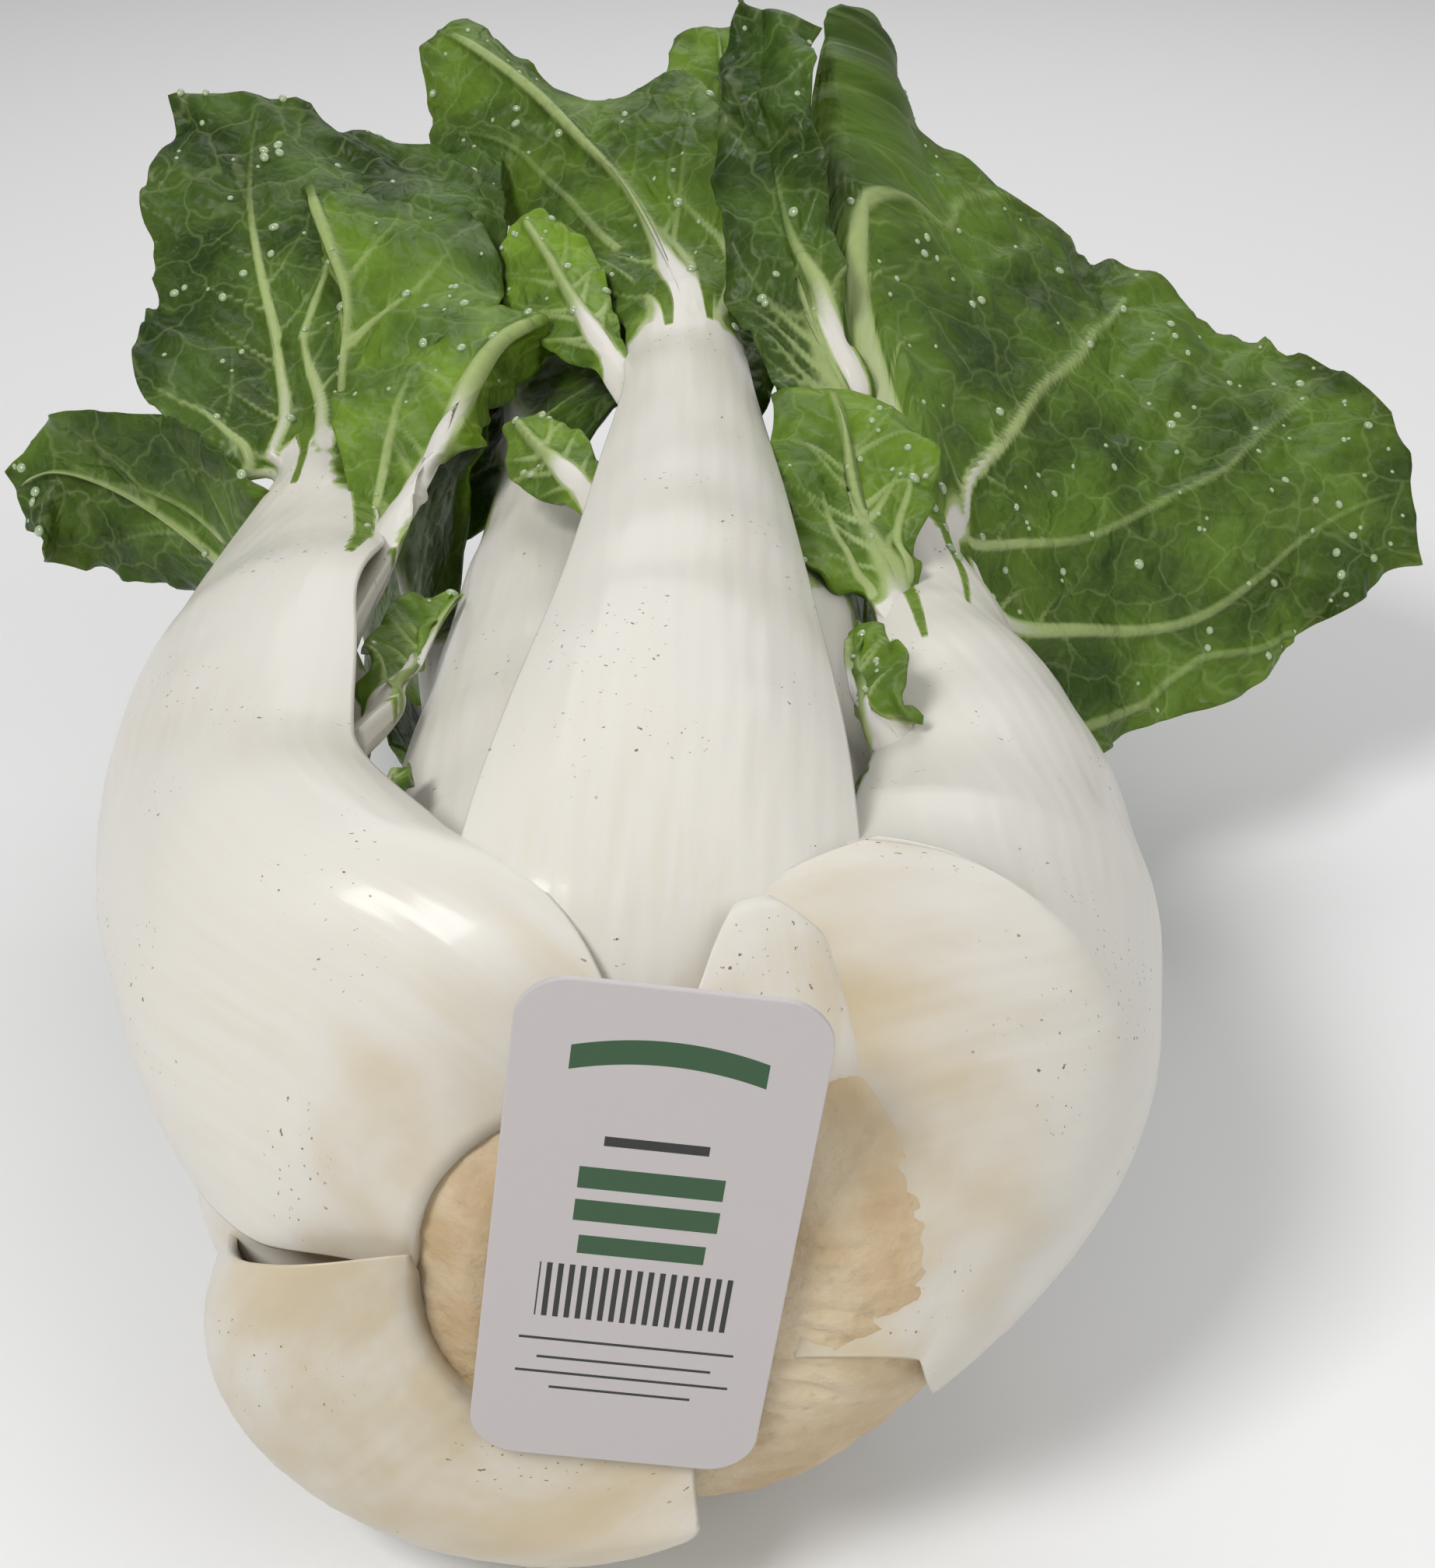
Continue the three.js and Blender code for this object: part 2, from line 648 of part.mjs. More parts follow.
function geometryOf(solid) {
  const mesh = solid.getMesh();
  const geometry = new THREE.BufferGeometry();
  geometry.setAttribute("position", new THREE.BufferAttribute(mesh.vertProperties.slice(), 3));
  geometry.setIndex(new THREE.BufferAttribute(mesh.triVerts.slice(), 1));
  return geometry;
}

// ---------------------------------------------------------------- stalks

// How many facets a leaf has across its stalk and blade, and how many rows between one station and the next.
function facetsOf(leaf) {
  if (leaf.joins) return { across: 4, bladeAcross: 4, stalkRows: 1, bladeRows: 2 };
  if (leaf.coarse) return { across: 4, bladeAcross: 6, stalkRows: 1, bladeRows: 2 };
  return { across: 6, bladeAcross: 8, stalkRows: 2, bladeRows: 2 };
}

// A leaf's stalk and midrib: a crescent section, thick in the middle, lofted along the spine. With `extra` it is
// swollen by that much all round, to cut clearance for it in a neighbour.
function stalkGeometry(leaf, extra = 0) {
  const { across, stalkRows } = facetsOf(leaf);
  const rings = (leaf.stalk.length - 1) * stalkRows;
  const perRing = 2 * (across + 1);
  const points = [];
  const triangles = [];
  for (let i = 0; i <= rings; i++) {
    const { place, along, back, right, crown, row } = spineAt(leaf, i / stalkRows);
    const [left, rightWidth, thickness, bend] = row.slice(3);
    const radius = (left + rightWidth) / 2 / (Math.max(bend, 0.5) * RADIANS);
    const edge = Math.min(STALK_EDGE, thickness / 2);
    if (i === 0) place.addScaledVector(along, -extra);
    if (i === rings) place.addScaledVector(along, extra);
    const outer = [];
    const inner = [];
    for (let j = 0; j <= across; j++) {
      const v = (2 * j) / across - 1;
      const turn = (v * ((v < 0 ? left : rightWidth) + extra)) / radius;
      const depth = edge + (thickness - edge) * Math.pow(1 - v * v, 0.8);
      const onBack = place
        .clone()
        .addScaledVector(right, radius * Math.sin(turn))
        .addScaledVector(crown, radius * (Math.cos(turn) - 1));
      const skin = new THREE.Vector3()
        .addScaledVector(back, Math.cos(turn))
        .addScaledVector(right, Math.sin(turn));
      outer.push(onBack.clone().addScaledVector(skin, extra));
      inner.unshift(onBack.addScaledVector(skin, -depth - extra));
    }
    points.push(...outer, ...inner);
  }
  const quad = (a, b, c, d) => triangles.push([a, b, c], [a, c, d]);
  for (let i = 0; i < rings; i++)
    for (let j = 0; j < perRing; j++) {
      const k = (j + 1) % perRing;
      quad(i * perRing + j, i * perRing + k, (i + 1) * perRing + k, (i + 1) * perRing + j);
    }
  const last = rings * perRing;
  for (let j = 0; j < across; j++) {
    const opposite = perRing - 1 - j;
    quad(j, opposite, opposite - 1, j + 1);
    quad(last + j, last + j + 1, last + opposite - 1, last + opposite);
  }
  return closed(points, triangles);
}

// ---------------------------------------------------------------- blades

// A point of a blade's middle surface: t runs from neck to tip, and v from -1 at the left margin to 1.
function bladePoint(leaf, t, v, extra = 0) {
  const last = leaf.stalk.length - 1 - leaf.neck;
  const { place, along, back, right, row } = spineAt(leaf, leaf.neck + t * last);
  const half = between(leaf.blade, t * last).slice(v < 0 ? 0 : 4, v < 0 ? 4 : 8);
  const [width, cup, curl, sweep] = [half[0] + extra, ...half.slice(1)];
  const side = Math.sign(v);
  const a = Math.abs(v);
  const start = cup * RADIANS;
  const turn = (Math.abs(curl) < 0.5 ? 0.5 : curl) * RADIANS;
  const across = (width / turn) * (Math.sin(start + turn * a) - Math.sin(start));
  const inwards = (width / turn) * (Math.cos(start) - Math.cos(start + turn * a));
  const [height, waves, phase] = leaf.ruffle;
  const wave = height * a * a * Math.sin(2 * Math.PI * (waves * t + phase + (side > 0 ? 0.5 : 0)));
  const underRib = row[5] + RIB_CLEARANCE + BLADE_THICKNESS / 2;
  return place
    .addScaledVector(back, wave - underRib - inwards)
    .addScaledVector(right, side * across)
    .addScaledVector(along, sweep * Math.pow(a, 1.5));
}

// A leaf's blade: its middle surface given a thickness, with side veins raised along every third row.
function bladeGeometry(leaf, extra = 0) {
  const step = 0.01;
  const { bladeAcross, bladeRows } = facetsOf(leaf);
  const rows = (leaf.blade.length - 1) * bladeRows;
  const points = [];
  const columns = bladeAcross + 1;
  for (const side of [1, -1])
    for (let i = 0; i <= rows; i++)
      for (let j = 0; j <= bladeAcross; j++) {
        const t = i / rows;
        const v = (2 * j) / bladeAcross - 1;
        const middle = bladePoint(leaf, t, v, extra);
        const before = bladePoint(leaf, Math.max(t - step, 0), v);
        const after = bladePoint(leaf, Math.min(t + step, 1), v);
        const leftOf = bladePoint(leaf, t, Math.max(v - step, -1));
        const rightOf = bladePoint(leaf, t, Math.min(v + step, 1));
        const ahead = after.sub(before).normalize();
        const normal = new THREE.Vector3().crossVectors(rightOf.sub(leftOf), ahead).normalize();
        const vein = side > 0 && i % 3 === 1 && i > 1 ? VEIN_HEIGHT * (1 - Math.abs(v)) : 0;
        const out = side * (BLADE_THICKNESS / 2 + extra) + vein;
        const beyond = i === 0 ? -extra : i === rows ? extra : 0;
        points.push(middle.addScaledVector(normal, out).addScaledVector(ahead, beyond));
      }
  const triangles = [];
  const second = (rows + 1) * columns;
  for (let i = 0; i < rows; i++)
    for (let j = 0; j < bladeAcross; j++) {
      const a = i * columns + j;
      const b = a + 1;
      const c = a + columns + 1;
      const d = a + columns;
      triangles.push([a, b, c], [a, c, d], [second + a, second + c, second + b], [second + a, second + d, second + c]);
    }
  const border = [];
  for (let j = 0; j < bladeAcross; j++) border.push(j);
  for (let i = 0; i < rows; i++) border.push(i * columns + bladeAcross);
  for (let j = bladeAcross; j > 0; j--) border.push(rows * columns + j);
  for (let i = rows; i > 0; i--) border.push(i * columns);
  border.forEach((a, k) => {
    const b = border[(k + 1) % border.length];
    triangles.push([a, second + a, second + b], [a, second + b, b]);
  });
  return closed(points, triangles);
}

// ---------------------------------------------------------------- stump, trimmed scale and tag
// The stump: a short plug of solid stem, its cut face toward -Y, with an uneven rim and its rings of leaf scars.
function stumpGeometry(extra = 0) {
  const points = [];
  const triangles = [];
  for (const [along, radius, swell] of STUMP_RINGS)
    for (let j = 0; j < STUMP_SIDES; j++) {
      const angle = (j / STUMP_SIDES) * 2 * Math.PI;
      const uneven = 1 + swell * (0.6 * Math.sin(3 * angle + 3.6) + 0.4 * Math.sin(5 * angle));
      points.push(
        new THREE.Vector3(
          STUMP_CENTRE.x + (radius * uneven + extra) * Math.sin(angle),
          along + (along < 0 ? -extra : extra),
          STUMP_CENTRE.z + (radius * uneven + extra) * Math.cos(angle),
        ),
      );
    }
  const rings = STUMP_RINGS.length;
  for (let i = 0; i < rings - 1; i++)
    for (let j = 0; j < STUMP_SIDES; j++) {
      const k = (j + 1) % STUMP_SIDES;
      const a = i * STUMP_SIDES;
      const b = a + STUMP_SIDES;
      triangles.push([a + j, a + k, b + k], [a + j, b + k, b + j]);
    }
  points.push(new THREE.Vector3(STUMP_CENTRE.x, STUMP_RINGS[0][0] - extra, STUMP_CENTRE.z));
  points.push(new THREE.Vector3(STUMP_CENTRE.x, STUMP_RINGS[rings - 1][0] + extra, STUMP_CENTRE.z));
  for (let j = 0; j < STUMP_SIDES; j++) {
    const k = (j + 1) % STUMP_SIDES;
    const last = (rings - 1) * STUMP_SIDES;
    triangles.push([rings * STUMP_SIDES, k, j], [rings * STUMP_SIDES + 1, last + j, last + k]);
  }
  return closed(points, triangles);
}

// The tag: a stiff card with rounded corners, standing against the butt.
function tagGeometry(extra = 0) {
  const { width, height, corner, thickness } = TAG;
  const x = width / 2 + extra;
  const y = height / 2 + extra;
  const shape = new THREE.Shape();
  shape.moveTo(-x + corner, -y);
  shape.lineTo(x - corner, -y);
  shape.absarc(x - corner, -y + corner, corner, -Math.PI / 2, 0, false);
  shape.lineTo(x, y - corner);
  shape.absarc(x - corner, y - corner, corner, 0, Math.PI / 2, false);
  shape.lineTo(-x + corner, y);
  shape.absarc(-x + corner, y - corner, corner, Math.PI / 2, Math.PI, false);
  shape.lineTo(-x, -y + corner);
  shape.absarc(-x + corner, -y + corner, corner, Math.PI, 1.5 * Math.PI, false);
  const depth = thickness + 2 * extra;
  const card = new THREE.ExtrudeGeometry(shape, { depth, bevelEnabled: false, curveSegments: 5 });
  card.translate(0, 0, -depth / 2);
  card.rotateX(Math.PI / 2 + TAG.lean * RADIANS);
  card.rotateY(TAG.turn * RADIANS);
  card.translate(TAG.centre.x, TAG.centre.y, TAG.centre.z);
  return card;
}

// ---------------------------------------------------------------- assembly
const head = new THREE.Group();
const placed = [];

function addMesh(name, geometry, look) {
  const mesh = new THREE.Mesh(geometry, new THREE.MeshStandardMaterial({ metalness: 0, ...COLOURS[look] }));
  mesh.name = name;
  head.add(mesh);
}

function largestBody(solid) {
  return solid.decompose().sort((a, b) => b.volume() - a.volume())[0];
}

// Cuts clearance in a solid for every piece already placed.
function clearOfOthers(solid) {
  let rest = solid;
  for (const other of placed) if (rest.intersect(other).volume() > 0) rest = rest.subtract(other);
  return largestBody(rest);
}

function place(name, geometries, swollen, look) {
  const [first, ...others] = geometries.map(solidOf);
  const whole = others.reduce((sum, other) => sum.add(other), first);
  const cut = clearOfOthers(whole).intersect(aboveSurface);
  const solid = largestBody(cut.simplify(SIMPLIFY));
  addMesh(name, geometryOf(solid.translate([-ORIGIN.x, -ORIGIN.y, 0])), look);
  placed.push(...swollen.map(solidOf));
}

const aboveSurface = solidOf(new THREE.BoxGeometry(1000, 1000, 1000).translate(0, 0, 500));

place("butt", [stumpGeometry()], [stumpGeometry(GAP)], "butt");
place("tag", [tagGeometry()], [tagGeometry(GAP)], "tag");
for (const leaf of LEAVES.filter(({ joins }) => !joins)) {
  const parts = [leaf, ...LEAVES.filter(({ joins }) => joins === leaf.name)];
  place(
    `stalk_${leaf.name}`,
    parts.map((part) => stalkGeometry(part)),
    parts.map((part) => stalkGeometry(part, GAP)),
    "stalk",
  );
}
const bladed = LEAVES.filter(({ blade }) => blade);
for (const leaf of [...bladed.filter(({ joins }) => joins), ...bladed.filter(({ joins }) => !joins)]) {
  place(`blade_${leaf.name}`, [bladeGeometry(leaf)], [bladeGeometry(leaf, GAP)], leaf.look ?? "outer");
}

export default head;
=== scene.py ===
"""A head of bok choy, lying on its side with a card tag at its butt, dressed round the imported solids.

Every leaf is one closed skin from the butt to the tip: a thick white stalk that spreads into ribs, and a
thin green blade between and beyond them. Lengths are in millimetres until a mesh is written in metres.
"""
import logging
import math
from dataclasses import dataclass, field
from enum import Enum

import bmesh
import bpy
import numpy as np
from mathutils import Matrix, Vector


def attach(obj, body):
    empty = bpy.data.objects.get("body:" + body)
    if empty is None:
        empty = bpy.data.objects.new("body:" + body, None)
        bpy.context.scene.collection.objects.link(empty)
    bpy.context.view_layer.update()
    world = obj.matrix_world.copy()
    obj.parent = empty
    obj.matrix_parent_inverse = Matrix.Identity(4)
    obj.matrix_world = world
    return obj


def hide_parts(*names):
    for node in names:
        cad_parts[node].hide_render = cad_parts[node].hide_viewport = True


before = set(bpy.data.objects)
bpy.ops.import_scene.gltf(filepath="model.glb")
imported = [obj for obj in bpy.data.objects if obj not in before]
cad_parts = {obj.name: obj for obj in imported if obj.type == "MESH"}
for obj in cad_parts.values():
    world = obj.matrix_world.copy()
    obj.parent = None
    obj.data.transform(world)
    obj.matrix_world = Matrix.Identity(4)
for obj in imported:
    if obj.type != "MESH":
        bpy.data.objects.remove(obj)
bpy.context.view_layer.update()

LOG = logging.getLogger("bok_choy")
Array = np.ndarray
Row = tuple[float, ...]
Line = tuple[Array, Array]

METRES = 0.001  # one millimetre
AXIS_HEIGHT = 62.2  # the head's axis above the surface that it lies on
ORIGIN = (14.8, 131.67)  # what comes to lie at the frame's origin, across and along
STUMP_CENTRE = (8.0, 57.4)  # the stump's middle, across and up
FLOOR_GAP = 0.05  # the lowest that any skin lies
SAMPLES = 800  # places at which a leaf's length is measured
STALK_EDGE = 2.2  # a stalk's thickness at its margins
ROUNDING = 0.8  # the power that rounds a stalk's section
LAMINA = 0.8  # a blade's thickness
UNDER_RIB = 1.45  # how far a blade lies inside the back of its middle rib
FAR = 30.0  # a distance from the ribs at which they no longer matter


class Look(Enum):
    """Which of the two greens a blade has."""

    OUTER = "leaf"
    INNER = "young_leaf"


def smoothstep(low: float, high: float, x: Array) -> Array:
    """A smooth ramp.

    Args:
        low: where the ramp is 0.
        high: where the ramp is 1.
        x: the values to ramp.

    Returns:
        The ramp's value for each x.
    """
    f = np.clip((x - low) / (high - low), 0.0, 1.0)
    return f * f * (3.0 - 2.0 * f)


def bell(x: Array) -> Array:
    """A rounded bump: 1 where x is 0, falling off to both sides."""
    return np.exp(-(x**2))


def unit(vectors: Array) -> Array:
    """The vectors, scaled to a length of one."""
    return vectors / np.maximum(np.linalg.norm(vectors, axis=-1, keepdims=True), 1e-9)


def run_along(points: Array) -> Array:
    """How far along a line each of its points lies."""
    return np.concatenate([[0.0], np.cumsum(np.linalg.norm(np.diff(points, axis=0), axis=1))])


def between(rows: Array, u: Array) -> Array:
    """Every column of a table of stations, joined by a Catmull-Rom curve.

    Args:
        rows: one row a station.
        u: places along the table, counted in stations.

    Returns:
        One interpolated row for each u.
    """
    last = len(rows) - 1
    i = np.clip(np.floor(u).astype(int), 0, last - 1)
    f = (u - i)[:, None]
    before, here, ahead = rows[np.maximum(i - 1, 0)], rows[i], rows[i + 1]
    beyond = rows[np.minimum(i + 2, last)]
    slope_in = np.where((i > 0)[:, None], (ahead - before) / 2, ahead - here)
    slope_out = np.where((i < last - 1)[:, None], (beyond - here) / 2, ahead - here)
    return (
        (2 * f**3 - 3 * f**2 + 1) * here
        + (f**3 - 2 * f**2 + f) * slope_in
        + (3 * f**2 - 2 * f**3) * ahead
        + (f**3 - f**2) * slope_out
    )


def round_axis(row: Array) -> Array:
    """Points from their distance along the head's axis, radius from it and angle round it.

    Args:
        row: an array whose first three columns are the distance, radius and angle in degrees.

    Returns:
        One point for each row.
    """
    angle = np.radians(row[:, 2])
    return np.stack([row[:, 1] * np.sin(angle), row[:, 0], AXIS_HEIGHT + row[:, 1] * np.cos(angle)], axis=1)


@dataclass(frozen=True)
class Wave:
    """One kind of smooth, repeatable unevenness: a sum of slanted sine waves, each finer than the last.

    Attributes:
        height: how far it goes to either side, nearly.
        length: the coarsest wave's length.
        seed: picks the waves' directions.
        count: how many waves there are.
        finer: each wave's length for that of the wave before.
        share: each wave's height for the whole.
        limit: where the sum is cut off.
    """

    height: float
    length: float
    seed: int
    count: int = 5
    finer: float = 0.78
    share: float = 0.45
    limit: float = 1.3

    def over(self, points: Array) -> Array:
        """The unevenness at places in space or on a chart.

        Args:
            points: the places, one a row of the last axis.

        Returns:
            The unevenness at each place.
        """
        draw = np.random.default_rng(self.seed)
        total = np.zeros(points.shape[:-1])
        for octave in range(self.count):
            way = draw.normal(size=points.shape[-1])
            way *= 2 * math.pi / (self.length * self.finer**octave * np.linalg.norm(way))
            total += np.sin(points @ way + draw.uniform(0, 2 * math.pi)) * self.share
        return self.height * np.clip(total, -self.limit, self.limit)


RIDGES = Wave(0.05, 1.0, 5)  # the stalks' lengthwise ridges, counted in ridges
SWELLS = Wave(0.35, 60.0, 9)  # the stalks' long, low swells
QUILT = Wave(1.2, 21.0, 21)  # the blades' bulges between ribs
PUCKER = Wave(0.16, 8.0, 22)  # finer bulges on those
MARGIN = Wave(2.0, 30.0, 23)  # how much the crinkles of the margins wander
BORDER = Wave(1.2, 9.0, 31)  # the border of white and green
TAN_AND_SHADE_BORDER = Wave(7.0, 30.0, 41)  # the border of the tan at the feet, and of the painted shade that it gives lower_left's underside
CUT = Wave(1.0, 6.0, 3)  # the stump's rough face


# ---------------------------------------------------------------- meshes
def sheet_mesh(name: str, near: Array, far: Array, fields: dict[str, Array]) -> bpy.types.Mesh:
    """A closed shell between two sheets of points.

    Args:
        name: the mesh's name.
        near: the outer sheet, rows by columns by 3.
        far: the inner sheet, of the same shape.
        fields: values over the sheets, to store at the vertices: one number a point, or two for a chart.

    Returns:
        The mesh, in metres in the row's frame, with its faces pointing outwards.
    """
    rows, columns = near.shape[:2]
    shell = bmesh.new()
    bmesh.ops.create_grid(shell, x_segments=rows - 1, y_segments=columns - 1, size=1.0)
    grown = bmesh.ops.extrude_face_region(shell, geom=shell.faces[:], use_keep_orig=True)
    raised = [item for item in grown["geom"] if isinstance(item, bmesh.types.BMVert)]
    bmesh.ops.translate(shell, vec=(0.0, 0.0, 1.0), verts=raised)
    bmesh.ops.recalc_face_normals(shell, faces=shell.faces[:])
    mesh = mesh_from(name, shell)
    x, y, z = read_points(mesh).T
    row = np.rint((x + 1) / 2 * (rows - 1)).astype(int)
    column = np.rint((y + 1) / 2 * (columns - 1)).astype(int)
    write_points(mesh, np.where((z > 0.5)[:, None], near[row, column], far[row, column]))
    for key, values in fields.items():
        picked = values[row, column]
        if picked.ndim == 1:
            mesh.attributes.new(key, "FLOAT", "POINT").data.foreach_set("value", picked.astype(np.float32))
        else:
            store_places(mesh, key, np.concatenate([picked, np.zeros((len(picked), 1))], axis=1))
    turn_outwards(mesh, near, far)
    return mesh


def mesh_from(name: str, shape: bmesh.types.BMesh, smooth: bool = True) -> bpy.types.Mesh:
    """Turns a worked shape into a mesh and lets go of it.

    Args:
        name: the mesh's name.
        shape: the shape.
        smooth: whether its faces are shaded smoothly.

    Returns:
        The mesh.
    """
    for face in shape.faces:
        face.smooth = smooth
    mesh = bpy.data.meshes.new(name)
    shape.to_mesh(mesh)
    shape.free()
    return mesh


def store_places(mesh: bpy.types.Mesh, key: str, places: Array) -> None:
    """Stores one place at each of a mesh's vertices under a name."""
    flat = places.astype(np.float32).ravel()
    mesh.attributes.new(key, "FLOAT_VECTOR", "POINT").data.foreach_set("vector", flat)


def read_points(mesh: bpy.types.Mesh) -> Array:
    """A mesh's vertices.

    Args:
        mesh: the mesh.

    Returns:
        One vertex a row.
    """
    flat = np.empty(len(mesh.vertices) * 3, dtype=np.float32)
    mesh.vertices.foreach_get("co", flat)
    return flat.reshape(-1, 3).astype(float)


def write_points(mesh: bpy.types.Mesh, points: Array) -> None:
    """Moves a mesh's vertices.

    Args:
        mesh: the mesh.
        points: their new places, in millimetres before the origin's shift.
    """
    placed = (points - np.array([*ORIGIN, 0.0])) * METRES
    mesh.vertices.foreach_set("co", placed.astype(np.float32).ravel())
    mesh.update()


def turn_outwards(mesh: bpy.types.Mesh, near: Array, far: Array) -> None:
    """Flips a shell's faces if they point inwards, judged by the raised sheet's normals.

    Args:
        mesh: the shell.
        near: its outer sheet.
        far: its inner sheet.
    """
    normals = np.cross(near[1:, :-1] - near[:-1, :-1], near[:-1, 1:] - near[:-1, :-1])
    outwards = near[:-1, :-1] - far[:-1, :-1]
    if np.sum(normals * outwards) < 0:
        mesh.flip_normals()


def add_piece(
    name: str, mesh: bpy.types.Mesh, material: bpy.types.Material, nodes: tuple[str, ...] = ()
) -> bpy.types.Object:
    """Links a mesh into the scene as a piece of the head.

    Args:
        name: the piece's name.
        mesh: its mesh, already in place.
        material: its finish.
        nodes: the solids that it stands for.

    Returns:
        The object.
    """
    piece = bpy.data.objects.new(name, mesh)
    bpy.context.scene.collection.objects.link(piece)
    mesh.materials.clear()
    mesh.materials.append(material)
    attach(piece, "root")
    if nodes:
        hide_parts(*nodes)
    return piece


# ---------------------------------------------------------------- leaves
@dataclass(frozen=True)
class Vein:
    """A side rib of a blade, or a green tongue between two of them.

    Attributes:
        start: its half-width where it starts.
        end: its half-width where it ends.
        path: places as shares of the blade's length and of its half-width.
        forks: whether finer ribs branch off it.
    """

    start: float
    end: float
    path: tuple[tuple[float, float], ...]
    forks: bool = True


@dataclass(frozen=True)
class Spine:
    """A leaf's middle line.

    Attributes:
        place: its places.
        along: the direction of growth at each.
        back: the direction out of the blade's back.
        right: the direction across, to the right.
        crown: the direction out of the stalk's back.
        row: the stalk's row there.
    """

    place: Array
    along: Array
    back: Array
    right: Array
    crown: Array
    row: Array


@dataclass
class Shell:
    """A leaf's two faces as sheets of points, and what its finish needs to know at each.

    Attributes:
        near: the outer face.
        far: the inner face.
        chart: the leaf laid flat.
        pale: how white it is.
        halo: how near a rib is.
        tan: how far the foot's tan reaches into it; on lower_left it reaches far up as painted shade of the
            underside.
    """

    near: Array
    far: Array
    chart: Array
    pale: Array
    halo: Array
    tan: Array


@dataclass
class Ribs:
    """The side ribs at a set of places on a blade.

    Attributes:
        rise: how far they stand out.
        pale: how pale they are.
        halo: how bright the green beside them is.
        gap: how far the nearest is.
    """

    rise: Array
    pale: Array
    halo: Array
    gap: Array


@dataclass
class MiddleRib:
    """The middle rib at a set of places on a blade.

    Attributes:
        off: the distance from it in its own half-widths.
        half: the stalk's half-width there.
        fade: how much of it is left.
    """

    off: Array
    half: Array
    fade: Array


@dataclass
class Growth:
    """One leaf, from its foot in the stump to its tip.

    Stations are given round the head's axis: distance along it, radius, and angle from the top, clockwise as
    seen from the butt.

    Attributes:
        name: the leaf's name.
        stalk: (along, radius, angle, left width, right width, thickness, bend) for each station.
        neck: the station where the blade starts, or 0 for a trimmed stalk without one.
        blade: (width, cup, curl, sweep) of the left half and then of the right, for each station from the
            neck on.
        ruffle: height, number and phase of the margin's waves.
        joins: the leaf whose stalk carries this one, if it is a lobe.
        look: which green it has; not used.
        veins: the side ribs whose lines are given one by one.
        green: how far past the neck the blade turns green in the middle, and how much sooner at its margins.
        midrib: the share of the blade's length along which the middle rib stands out.
        pairs: how many pairs of side ribs are drawn besides.
        columns: points across.
        step: the distance between rows of points on the blade.
        shade: from 0, the darkest green, to 1, the brightest.
        white_rib: the share of the blade's length over which its ribs stay white.
        stain_and_shade: how far up the stalk the tan of its foot reaches, and how strong it is; on
            lower_left it reaches far up as painted shade of the underside.
        tongues: green wedges that run down into the white between two ribs, from their tips.
        drops: how many drops of water lie on it.
        skin: its two faces, once they are worked out.
    """

    name: str
    stalk: list[Row]
    neck: int = 0
    blade: list[Row] = field(default_factory=list)
    ruffle: tuple[float, float, float] = (0.0, 1.0, 0.0)
    joins: str = ""
    look: Look = Look.OUTER
    veins: tuple[Vein, ...] = ()
    green: tuple[float, float] = (12.0, 18.0)
    midrib: float = 0.9
    pairs: int = 3
    columns: int = 60
    step: float = 1.5
    shade: float = 0.3
    white_rib: float = 0.4
    stain_and_shade: tuple[float, float] = (38.0, 1.0)
    tongues: tuple[Vein, ...] = ()
    drops: int = 0
    skin: Shell | None = None

    def last(self) -> int:
        """The number of the last station."""
        return len(self.stalk) - 1

    def spine(self, u: Array) -> Spine:
        """The leaf's middle line.

        Args:
            u: the stations to give it at.

        Returns:
            Its places and directions.
        """
        nudge, slant, crown_start = 0.02, -0.8, 2
        rows = np.array(self.stalk, dtype=float)
        row = between(rows, u)
        place = round_axis(row)
        ahead = round_axis(between(rows, np.minimum(u + nudge, float(self.last()))))
        along = unit(ahead - round_axis(between(rows, np.maximum(u - nudge, 0.0))))
        angle = np.radians(row[:, 2])
        outwards = np.stack([np.sin(angle), np.zeros_like(angle), np.cos(angle)], axis=1)
        back = outwards + np.array([0.0, slant, 0.0])
        back = unit(back - along * np.sum(back * along, axis=1, keepdims=True))
        grown = np.zeros((len(u), 1))
        if self.neck:
            grown = np.clip((u - crown_start) / (self.neck - crown_start), 0, 1)[:, None]
        crown = unit(outwards * (1 - grown) + back * grown)
        return Spine(place, along, back, np.cross(along, back), crown, row)

    def stations(self) -> Array:
        """Where the leaf's rows of points lie.

        Returns:
            The rows, in stations, closer together on the blade.
        """
        coarsest, early = 2.4, 0.4
        fine = np.linspace(0, self.last(), SAMPLES)
        steps = np.linalg.norm(np.diff(self.spine(fine).place, axis=0), axis=1)
        on_blade = fine[1:] > self.neck - early if self.neck else np.zeros(len(steps), bool)
        spacing = np.where(on_blade, self.step, min(coarsest, 2 * self.step))
        run = np.concatenate([[0.0], np.cumsum(steps / spacing)])
        return np.interp(np.linspace(0, run[-1], int(run[-1]) + 2), run, fine)

    def past_neck(self, u: Array) -> Array:
        """The distance along the spine from the neck.

        Args:
            u: the stations to give it at.

        Returns:
            The distance, below 0 on the stalk.
        """
        fine = np.linspace(0, self.last(), SAMPLES)
        run = run_along(self.spine(fine).place)
        return np.interp(u, fine, run) - np.interp(self.neck or self.last(), fine, run)

    def blade_share(self, u: Array) -> Array:
        """How far up the blade stations lie, from 0 at the neck to 1 at the tip."""
        return np.clip((u - self.neck) / (self.last() - self.neck), 0, 1)[:, None]

    def halves(self, u: Array, v: Array) -> Array:
        """The blade's (width, cup, curl, sweep) at every station u and share v of the half-width."""
        rows = between(np.array(self.blade, dtype=float), np.maximum(u - self.neck, 0.0))
        return np.where((v < 0)[None, :, None], rows[:, None, :4], rows[:, None, 4:])

